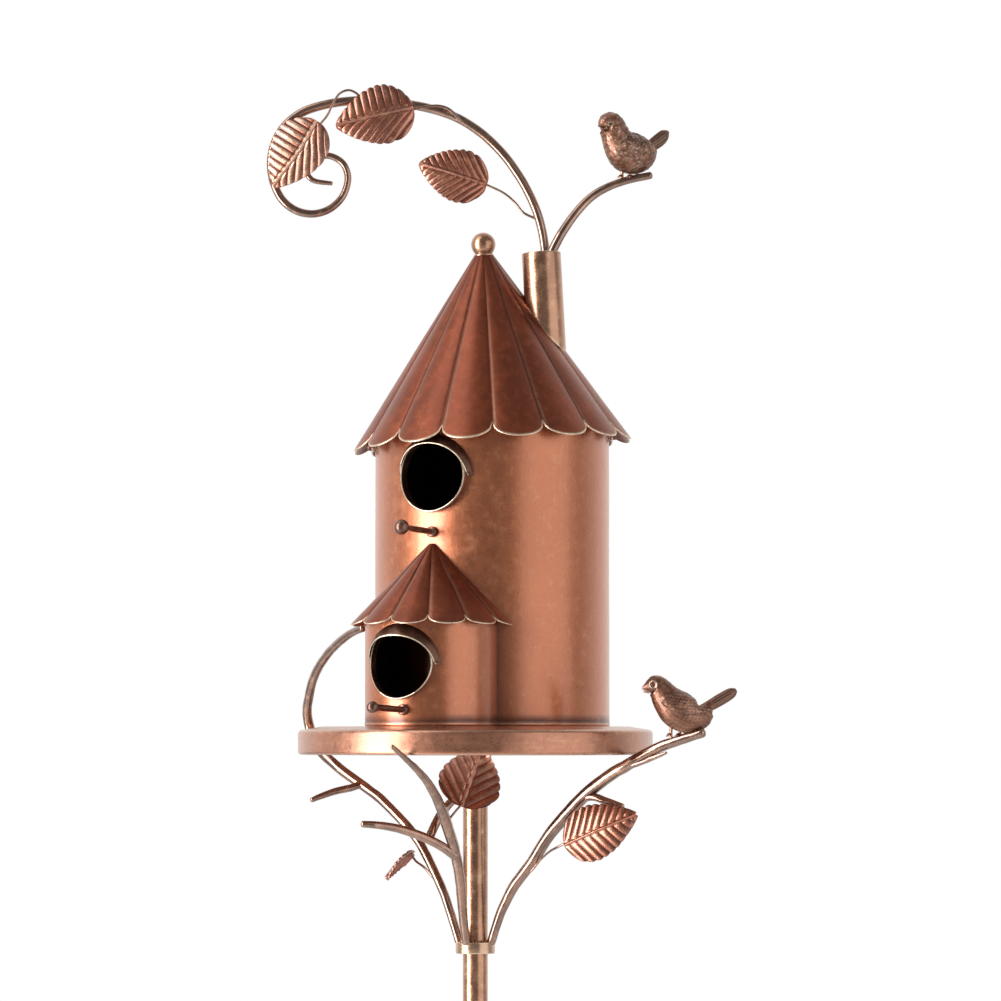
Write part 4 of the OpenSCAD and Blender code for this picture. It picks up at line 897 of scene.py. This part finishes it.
# ------------------------------------------------------------------ leaves
def leaf(name, node, body, base, tip, face, w, camber, seed=0.0, curl=0.0, pitch=(4.8, 8.0), slant=(0.1, 1.6), amp=0.85, notch=0.07, rib_at=0.0, depth=1.0, light=1.0):
    """Pressed sheet leaf: raised midrib, rounded side veins between sharp creases darkened with painted shade (scaled
    by depth), notched cut margin; vein crests and the midrib carry a painted highlight (scaled by light).
    pitch, slant: (up side, down side) vein spacing along the midrib and lean towards the tip."""
    M = Mesh()
    base, tip = vp(*base), vp(*tip)
    l = np.linalg.norm(tip - base); x = unit(tip - base); y = unit(np.cross(vd(*face), x)); z = np.cross(x, y)
    nu, nv = 150, 90
    def half(t):
        return max(w / 2 * math.sin(math.pi * min(max(t, 0.0), 1.0) ** 0.72) ** 0.75, 0.02)
    P = np.zeros((2, nu + 1, nv + 1, 3)); E = np.zeros((2, nu + 1, nv + 1)); G = np.zeros_like(E)
    for i in range(nu + 1):
        t = 0.012 + 0.976 * i / nu
        h = max(half(t), 0.55)
        r0 = rib_at * math.sin(math.pi * t)
        for j in range(nv + 1):
            s = 2 * j / nv - 1
            side = 1 if s >= r0 else -1
            a = abs(s - r0) / (1 - side * r0)
            yr = abs(s - r0) * h
            k = 0 if side > 0 else 1
            pt, sl = pitch[k], slant[k]
            jig = 0.06 * fn((t * 20, side * 5, seed), 0.35, seed)
            q = (t * l - sl * yr * (1 - 0.010 * yr) - 0.004 * sl * yr * yr) / pt + 0.3 * k + jig
            fq = q - math.floor(q)
            ridge = math.sin(math.pi * fq) ** 0.55 if 0 < fq < 1 else 0.0
            crease = math.exp(-(min(fq, 1 - fq) / (0.08 + 0.09 * a)) ** 2)
            fade = min(1.0, yr / 1.6) * min(1.0, (1 - t) * 12) * min(1.0, t * 14)
            cut = notch * (1 - ridge) * a ** 5
            yy = yr * (1 - cut + 0.02 * fn((t * 22, s * 3, seed), 0.3, 2) * a ** 3) * 0.985
            rib = math.exp(-(yr / 0.6) ** 2)
            hgt = camber * (math.sin(math.pi * t) * 0.6 - 0.5 * s * s)
            hgt += amp * (ridge - 0.55) * fade * (0.5 + 0.5 * min(1, a * 1.6)) + 0.75 * rib - 0.3 * math.exp(-((yr - 1.5) / 0.7) ** 2) * min(1, t * 10)
            hgt += curl * s * abs(s) + 0.45 * fn((t * 30, s * 12, seed), 0.10, seed)
            sy = r0 * h + side * yy
            p = base + x * t * l + y * sy + z * hgt
            P[0, i, j] = p + z * 0.42; P[1, i, j] = p - z * 0.42
            # painted highlight on the vein crests and the midrib; painted shade in the creases, beside the midrib and
            # along the cut margin; the back gets weaker copies
            e = 0.6 * light * (0.42 * max(0.0, ridge - 0.8) / 0.2 * fade * (0.55 + 0.45 * fn((t * 60, s * 30, seed), 0.3, 3)) + 0.30 * rib)
            g = 1.15 * depth * crease * fade * (0.62 + 0.38 * a) + 0.35 * math.exp(-((yr - 1.3) / 0.5) ** 2) * fade
            if a > 0.97: e, g = e * 0.5, max(g, 0.45)
            E[0, i, j] = max(0.0, e); G[0, i, j] = min(1, g)
            E[1, i, j] = e * 0.3; G[1, i, j] = g * 0.5
    o1 = M.grid(P[0], E[0], G[0]); o2 = M.grid(P[1], E[1], G[1], flip=True)
    c = nv + 1
    for i in range(nu):
        for j, f in ((0, 0), (nv, 1)):
            a, b, d2, e2 = o1 + i * c + j, o1 + (i + 1) * c + j, o2 + (i + 1) * c + j, o2 + i * c + j
            M.f.append((a, b, d2, e2) if not f else (e2, d2, b, a)); M.fm.append(0)
    for j in range(nv):
        for i, f in ((0, 1), (nu, 0)):
            a, b, d2, e2 = o1 + i * c + j, o1 + i * c + j + 1, o2 + i * c + j + 1, o2 + i * c + j
            M.f.append((a, b, d2, e2) if not f else (e2, d2, b, a)); M.fm.append(0)
    return M.make(name, "leaf", body, (node,), sharp=80)


# +y side of each leaf is cross(face, base to tip)
leaf("leaf_under_tray_blade", "leaf_under_tray", "house", [-9, -48, -51], [4.5, -46, -13], [0.05, -1, 0], 41, -4, 1.3, pitch=(7.0, 7.0), slant=(1.1, 1.1), depth=0.8)
leaf("leaf_left_blade", "leaf_left", "house", [-40, 28, -81], [-58, 18, -98], [-0.62, 0.2, 0.6], 24, 3, 2.1, pitch=(4.5, 4.5), slant=(0.8, 0.8))
leaf("leaf_right_blade", "leaf_right", "house", [55.5, -47, -75], [101, -66, -54.5], [-0.2, -1, 0.1], 36, 4, 3.7, pitch=(5.4, 5.4), slant=(0.75, 0.5), depth=0.9)
# this leaf faces the key lamp, so its painted highlight is stronger (light=3.4)
leaf("leaf_scroll_end_blade", "leaf_scroll_end", "roof", [-102.8, 9, 393.6], [-132, 8.4, 349.5], [-0.3, -1, 0.05], 40, 3, 4.9, pitch=(8.6, 4.7), slant=(1.7, 0.0), rib_at=0.10, light=3.4)
leaf("leaf_scroll_top_blade", "leaf_scroll_top", "roof", [-40, 10.2, 402.3], [-91.5, 8.6, 390], [0.05, -1, 0.15], 41, 4, 5.2, pitch=(7.4, 4.9), slant=(1.4, 0.0), depth=0.9)
leaf("leaf_scroll_low_blade", "leaf_scroll_low", "roof", [8, 17, 352.4], [-37.3, 15, 366.6], [-0.05, -1, 0.05], 36, 4, 6.4, pitch=(4.9, 5.6), slant=(0.9, 1.0))


# ------------------------------------------------------------------ birds
LOW_BODY = [[-14.5, 0.2, 2.2, 2.2], [-12.9, -0.3, 4.4, 4.4], [-10.1, -2.5, 6.6, 6.4], [-7.3, -4.1, 8.4, 8], [-3.2, -4.7, 10.2, 9.6], [2.2, -3.1, 11.8, 11], [8.5, 1.2, 12.2, 11.2], [13.8, 6.5, 10, 9.6], [17.9, 12, 8, 7.8], [21.1, 14.9, 6.9, 6.8], [24.5, 14.6, 5, 5.2], [27, 14, 2.8, 3], [30, 13.2, 0.5, 0.6]]
UP_BODY = [[-17.6, 6, 3.2, 3.4], [-15.4, 4, 7.6, 7.6], [-10.4, 1.6, 11.6, 11.2], [-4, 0.1, 13.6, 12.8], [2, 0.6, 13.8, 13], [7, 3.6, 12.4, 11.8], [11, 8.4, 10.4, 10.2], [13.6, 13, 9.4, 9.2], [16, 16.8, 8.8, 8.8], [19.6, 18, 7.2, 7.4], [22.8, 17.4, 4.4, 4.8], [24.8, 16.4, 2, 2.4], [27, 15, 0.5, 0.7]]
LOW_TAIL = [[-5.5, -1.4, 3, 2.4], [-13.2, 2.4, 3.6, 2.7], [-20.8, 6.7, 3.9, 2.8], [-27.1, 10.4, 3.4, 2.6], [-30, 12.2, 1.4, 1.4]]
UP_TAIL = [[-10, 2, 3, 2.4], [-17.4, 6.2, 4.1, 2.8], [-24.6, 10.8, 4.7, 3], [-29.4, 14.6, 4, 2.8], [-32.2, 17, 1.6, 1.5]]


def loft(M, rings, sides, frame_fn, k=6, detail=None):
    R = catmull(rings, k)
    n = len(R)
    D = np.zeros((n, 2))
    D[1:-1] = R[2:, :2] - R[:-2, :2]; D[0] = R[1, :2] - R[0, :2]; D[-1] = R[-1, :2] - R[-2, :2]
    D /= np.linalg.norm(D, axis=1)[:, None]
    ang = np.linspace(0, 2 * math.pi, sides, endpoint=False)
    P = np.zeros((n, sides, 3)); E = np.zeros((n, sides)); G = np.zeros((n, sides))
    for i in range(n):
        up = np.array([-D[i, 1], 0, D[i, 0]])
        for j, a in enumerate(ang):
            nrm = up * math.cos(a) + np.array([0, 1, 0]) * math.sin(a)
            p = np.array([R[i, 0], 0, R[i, 1]]) + up * max(R[i, 2], 0.15) * math.cos(a) + np.array([0, 1, 0]) * max(R[i, 3], 0.15) * math.sin(a)
            if detail:
                dd, e, g = detail(p, a, i / (n - 1), nrm)
                p = p + nrm * dd; E[i, j] = e; G[i, j] = g
            P[i, j] = p
    o = len(M.v)
    M.grid(frame_fn(P), E, G, wrap_v=True, cap0=True, cap1=True)
    return P


def cells(x, y, seed):
    """Distance pattern of small overlapping feather scales."""
    row = math.floor(y)
    xx = x + 0.5 * (row % 2)
    fx, fy = xx - math.floor(xx) - 0.5, y - row
    return max(0.0, 1 - math.sqrt(fx * fx * 4 + (fy - 0.1) ** 2 * 1.1))


def bird(prefix, body, at, yaw, rings, tail, eye, beak, wing, body_node, tail_node, feet_node, feet_at, seed, down=0.0):
    """Cast bird. rings, tail: loft tables. eye: (x, z, side offset). wing: (x0, x1, z0, z1, half width, reach)."""
    Rm = rot((0, 0, 1), VA + math.pi + math.radians(yaw))
    c = vp(*at)
    fr = lambda P: P @ Rm.T + c
    M = Mesh()
    ex0, ez0, ey0 = eye
    er = 0.62 if down else 1.0
    wx0, wx1, wz0, wz1, whw, wreach = wing

    def wing_uv(x, z):
        """Place on the folded wing: t from shoulder to tip, v across (-1..1)."""
        dx, dz = wx1 - wx0, wz1 - wz0
        L2 = dx * dx + dz * dz
        t = ((x - wx0) * dx + (z - wz0) * dz) / L2
        v = ((z - wz0) * dx - (x - wx0) * dz) / math.sqrt(L2)
        return t, v

    def det(p, a, f, nrm):
        x, y, z = p
        d = 0.14 * fn(p, 0.5, seed) - 0.35
        ang = a if a <= math.pi else 2 * math.pi - a      # 0 at the back, pi at the breast
        sc = cells(x * 0.40 + 30, ang * 4.0, seed)
        amp = min(1, max(0, (ex0 - 5 - x) / 6))
        d += 0.30 * amp * (sc - 0.3) + 0.10 * fn(p, 1.1, seed + 3)
        # painted shade in the gaps between feather scales, a painted highlight on their tops
        g = 0.55 * max(0.0, 0.14 - sc) / 0.14 * amp
        e = 0.10 * max(0, sc - 0.5) * amp
        # folded wing raised out of the flank
        t, v = wing_uv(x, z)
        if abs(y) > 3 and -0.15 < t < 1.15:
            prof = whw * max(0.0, math.sin(math.pi * min(1, max(0, t * 0.92 + 0.08)) ** 0.8)) ** 0.7
            if prof > 0.3:
                k = abs(v) / prof
                inside = 1 / (1 + math.exp((k - 0.92) * 14))
                d += 1.05 * inside * wreach
                # painted shade along the outline of the folded wing
                g = max(g * (1 - inside), 0.75 * math.exp(-((k - 1.02) / 0.09) ** 2) * (1 if k < 1.3 else 0))
                # wing scales and flight feathers: painted shade in the gaps, a painted highlight on the tops
                if inside > 0.4:
                    if t < 0.42:
                        s2 = cells(t * 15 + 10, v * 0.55 + 9, seed)
                        d += 0.55 * (s2 - 0.3) * inside
                        g = max(g, 0.85 * max(0, 0.18 - s2) / 0.18); e = max(e, 0.55 * max(0, s2 - 0.45))
                    else:
                        q = v / 1.7 + t * 1.6
                        fq = q - math.floor(q)
                        d += 0.40 * (fq - 0.5) * inside
                        g = max(g, 0.8 * math.exp(-((fq - 0.04) / 0.09) ** 2)); e = max(e, 0.30 * math.exp(-((fq - 0.85) / 0.10) ** 2))
        # eye socket and cheek
        if x > ex0 - 7 and abs(y) > 2:
            rr = math.sqrt((x - ex0) ** 2 + (z - ez0) ** 2) / er
            d += -0.6 * er * math.exp(-(rr / 1.3) ** 2) + 0.4 * er * math.exp(-((rr - 2.2) / 0.5) ** 2)
            # painted shade in a ring round the eye socket, a painted highlight on its rim
            g = max(g, 0.6 * math.exp(-((rr - 3.0) / 0.45) ** 2))
            e = max(e, 0.45 * math.exp(-((rr - 2.2) / 0.45) ** 2))
            rc = math.sqrt((x - ex0 - 1.5) ** 2 + (z - ez0 + 4.2) ** 2)
            d += 0.35 * math.exp(-(rc / 1.8) ** 2)
        if down:
            lump = fn(p, 0.42, seed + 20)
            d += down * (0.38 * lump + 0.25 * fn(p, 0.95, seed + 22))
            fleck = fn(p, 1.3, seed + 31)
            # down: a painted highlight on the tops of the lumps, pale flecks on the breast, painted shade in the dips
            e = max(e, down * 0.45 * max(0, lump - 0.25), down * 1.6 * max(0, fleck - 0.27) * (1 if x > -4 and z < 12 else 0.25)); g = max(g, down * 0.55 * max(0, -lump - 0.15))
        return d, e, g
    loft(M, rings, 88, fr, 9, det)
    for sd in (-1, 1):
        e0 = np.array([ex0, sd * ey0, ez0])
        # eye: a darkened dome, darkest at its rim in the socket (painted shade), with a painted glint at its centre
        lathe(M, [(0.05, -1.6), (1.4 * er, -1.0), (1.55 * er, -0.3)] + [(1.45 * er * math.sin(t), -0.3 + 0.9 * er * math.cos(t)) for t in np.linspace(1.45, 0.05, 7)], 22,
              centre=fr(e0), frame3=Rm @ rot((1, 0, 0), -sd * math.pi / 2 + sd * 0.22), E=[0, 0.0, 0.0] + [0.0] * 6 + [0.5], G=[0, 0, 1.0] + [0.8] * 5 + [0.3, 0])
    bx, bz, bs = beak
    # beak: painted shade along the line between the mandibles; the upper mandible paler towards its tip
    loft(M, [[bx - 4.5, bz + 1.4, 2.4 * bs, 2.5 * bs], [bx - 2.4, bz + 1.0, 1.8 * bs, 1.9 * bs], [bx - 0.9, bz + 0.4, 1.0 * bs, 1.0 * bs], [bx, bz - 0.3, 0.25, 0.25]], 20, fr, 6, lambda p, a, f, n: (0, 0.3 * f, 0.6 if math.cos(a) < -0.75 else 0))
    loft(M, [[bx - 4.6, bz - 1.1, 1.8 * bs, 2.0 * bs], [bx - 2.6, bz - 1.4, 1.2 * bs, 1.4 * bs], [bx - 1.2, bz - 1.5, 0.6, 0.7], [bx - 0.6, bz - 1.5, 0.2, 0.2]], 20, fr, 6, lambda p, a, f, n: (0, 0.25, 0.6 if math.cos(a) > 0.75 else 0))
    M.make(prefix + "_form", "bird", body, (body_node,), sharp=80)
    M = Mesh()
    # tail: painted shade in the grooves between feathers, a painted highlight on their crests; past its root the tail
    # is darker overall; its tip is pale
    def dt(p, a, f, n):
        along = abs(math.sin(a))
        q = math.cos(a) * 2.4 + 0.5
        fq = q - math.floor(q)
        on = 1 if f > 0.3 else 0
        return (0.22 * (fq - 0.6) * on * along - 0.12, 0.25 * on * math.exp(-((fq - 0.8) / 0.12) ** 2) * along + (0.35 if f > 0.96 else 0), 0.85 * math.exp(-((fq) / 0.10) ** 2) * on * along + 0.35 * on)
    loft(M, tail, 64, fr, 10, dt)
    M.make(prefix + "_tail_fan", "bird", body, (tail_node,), sharp=70)
    M = Mesh()
    fx, fw, fz, fl = feet_at
    for sd in (-2.8, 2.8):
        p0 = vp(fx, fw, fz) + np.array([CV * sd, SV * sd, 0])
        sweep(M, [p0 + np.array([0, 0, t]) for t in np.linspace(0.4, fl + 1.5, 7)], [1.0, 0.95, 0.9, 1.0, 1.3, 1.8, 2.2], 16, ref=(1, 0, 0.01), cap=False)
        for q in range(3):
            a = VA + math.pi + math.radians(yaw) + (q - 1) * 0.6
            tip = p0 + np.array([math.cos(a) * 3.2, math.sin(a) * 3.2, fl * 0.3 - 0.6])
            sweep(M, [p0 + np.array([0, 0, fl * 0.3 + 0.6]), (p0 + tip) / 2 + np.array([0, 0, fl * 0.2 + 0.6]), tip], [0.85, 0.75, 0.4], 10, ref=(0, 0, 1))
    M.make(prefix + "_legs", "rod", body, (feet_node,))


bird("bird_lower", "house", [133, -80, 10.4], 8, LOW_BODY, LOW_TAIL, (23.5, 15.6, 5.2), (29.8, 12.8, 1.0), (16.5, -13.0, 5.5, 0.0, 6.0, 1.0), "bird_lower", "bird_lower_tail", "bird_lower_feet", (124.8, -76.6, -8.6, 10), 1.5)
bird("bird_upper", "roof", [100.5, 11, 372.4], 38, UP_BODY, UP_TAIL, (21.0, 16.6, 5.6), (25.8, 15.2, 0.6), (9.0, -17.0, 6.0, 3.0, 6.2, 0.7), "bird_upper", "bird_upper_tail", "bird_upper_feet", (98.2, 11.4, 355, 7), 7.5, down=1.2)

# ------------------------------------------------------------------ anything left from the CAD keeps its shape with a real finish
for nm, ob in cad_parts.items():
    if not ob.data.materials:
        ob.data.materials.append(MAT["rod"])
    for i in range(len(ob.data.materials)):
        ob.data.materials[i] = MAT["rod"]

# ------------------------------------------------------------------ floor, light, camera
floor_mat, t = nt_new("floor_pale")
g = N(t)
p = g.add("ShaderNodeBsdfPrincipled")
p.inputs["Base Color"].default_value = (0.82, 0.82, 0.81, 1)
p.inputs["Roughness"].default_value = 0.75
o = g.add("ShaderNodeOutputMaterial")
t.links.new(p.outputs["BSDF"], o.inputs["Surface"])
zf = cad_box[0][2] - 0.002
bm = bmesh.new()
bmesh.ops.create_circle(bm, cap_ends=True, segments=96, radius=6.0)
me = bpy.data.meshes.new("floor"); bm.to_mesh(me); bm.free()
fl = bpy.data.objects.new("floor", me); bpy.context.scene.collection.objects.link(fl)
fl.location = (0, 0, zf); me.materials.append(floor_mat)


def aim(ob, target):
    dvec = Vector(target) - ob.location
    ob.rotation_euler = dvec.to_track_quat("-Z", "Y").to_euler()


def area(name, az, dist, z, sx, sy, power, color=(1, 1, 1), tz=None):
    """az: degrees to the right of the camera's own direction, seen from the object."""
    li = bpy.data.lights.new(name, "AREA"); li.shape = "RECTANGLE"; li.size = sx; li.size_y = sy
    li.energy = power; li.color = color
    ob = bpy.data.objects.new(name, li); bpy.context.scene.collection.objects.link(ob)
    a = math.radians(az)
    u, w = math.sin(a) * dist, -math.cos(a) * dist
    ob.location = (u * CV - w * SV, u * SV + w * CV, z)
    aim(ob, (0, 0, z if tz is None else tz))
    return ob


area("key_left", -63, 1.8, 1.30, 0.85, 2.6, 60)
area("fill_right", 54, 2.2, 1.25, 2.3, 2.6, 19)
area("top", -70, 1.2, 2.9, 1.2, 1.2, 7, tz=1.2)

w = bpy.data.worlds.new("studio"); bpy.context.scene.world = w
w.use_nodes = True
t = w.node_tree
for n_ in list(t.nodes): t.nodes.remove(n_)
g = N(t)
lp = g.add("ShaderNodeLightPath")
dirn = g.add("ShaderNodeTexCoord").outputs["Generated"]
dt_ = g.add("ShaderNodeVectorMath"); dt_.operation = "DOT_PRODUCT"; dt_.inputs[1].default_value = (-SV, CV, 0.0)
g.link(dirn, dt_.inputs[0])
behind = g.ramp(dt_.outputs["Value"], -0.35, 0.85, 0.20, 1.0)
b1 = g.add("ShaderNodeBackground"); g.link(behind, b1.inputs["Strength"]); b1.inputs["Color"].default_value = (1.0, 0.99, 0.97, 1)
b2 = g.add("ShaderNodeBackground"); b2.inputs["Color"].default_value = (1, 1, 1, 1)
mx = g.add("ShaderNodeMixShader"); wo = g.add("ShaderNodeOutputWorld")
t.links.new(lp.outputs["Is Camera Ray"], mx.inputs[0]); t.links.new(b1.outputs[0], mx.inputs[1]); t.links.new(b2.outputs[0], mx.inputs[2]); t.links.new(mx.outputs[0], wo.inputs[0])

cam = bpy.data.cameras.new("camera"); co = bpy.data.objects.new("camera", cam)
bpy.context.scene.collection.objects.link(co)
cam.sensor_width = 36.0; cam.lens = 4010 * 36 / 1001
cam.clip_start = 0.05; cam.clip_end = 50
D = 2.58
co.location = (D * SV, -D * CV, 1.0 - 0.00516)
yaw, pit = math.radians(0.358), math.radians(3.34)
# looking along +w, turned right by yaw, tipped up by pit
dirv = Vector((math.sin(yaw) * CV - math.cos(yaw) * SV, math.sin(yaw) * SV + math.cos(yaw) * CV, 0)) * math.cos(pit) + Vector((0, 0, math.sin(pit)))
co.rotation_euler = dirv.to_track_quat("-Z", "Y").to_euler()
bpy.context.scene.camera = co
bpy.context.scene.view_settings.view_transform = "Standard"
bpy.context.scene.view_settings.look = "None"
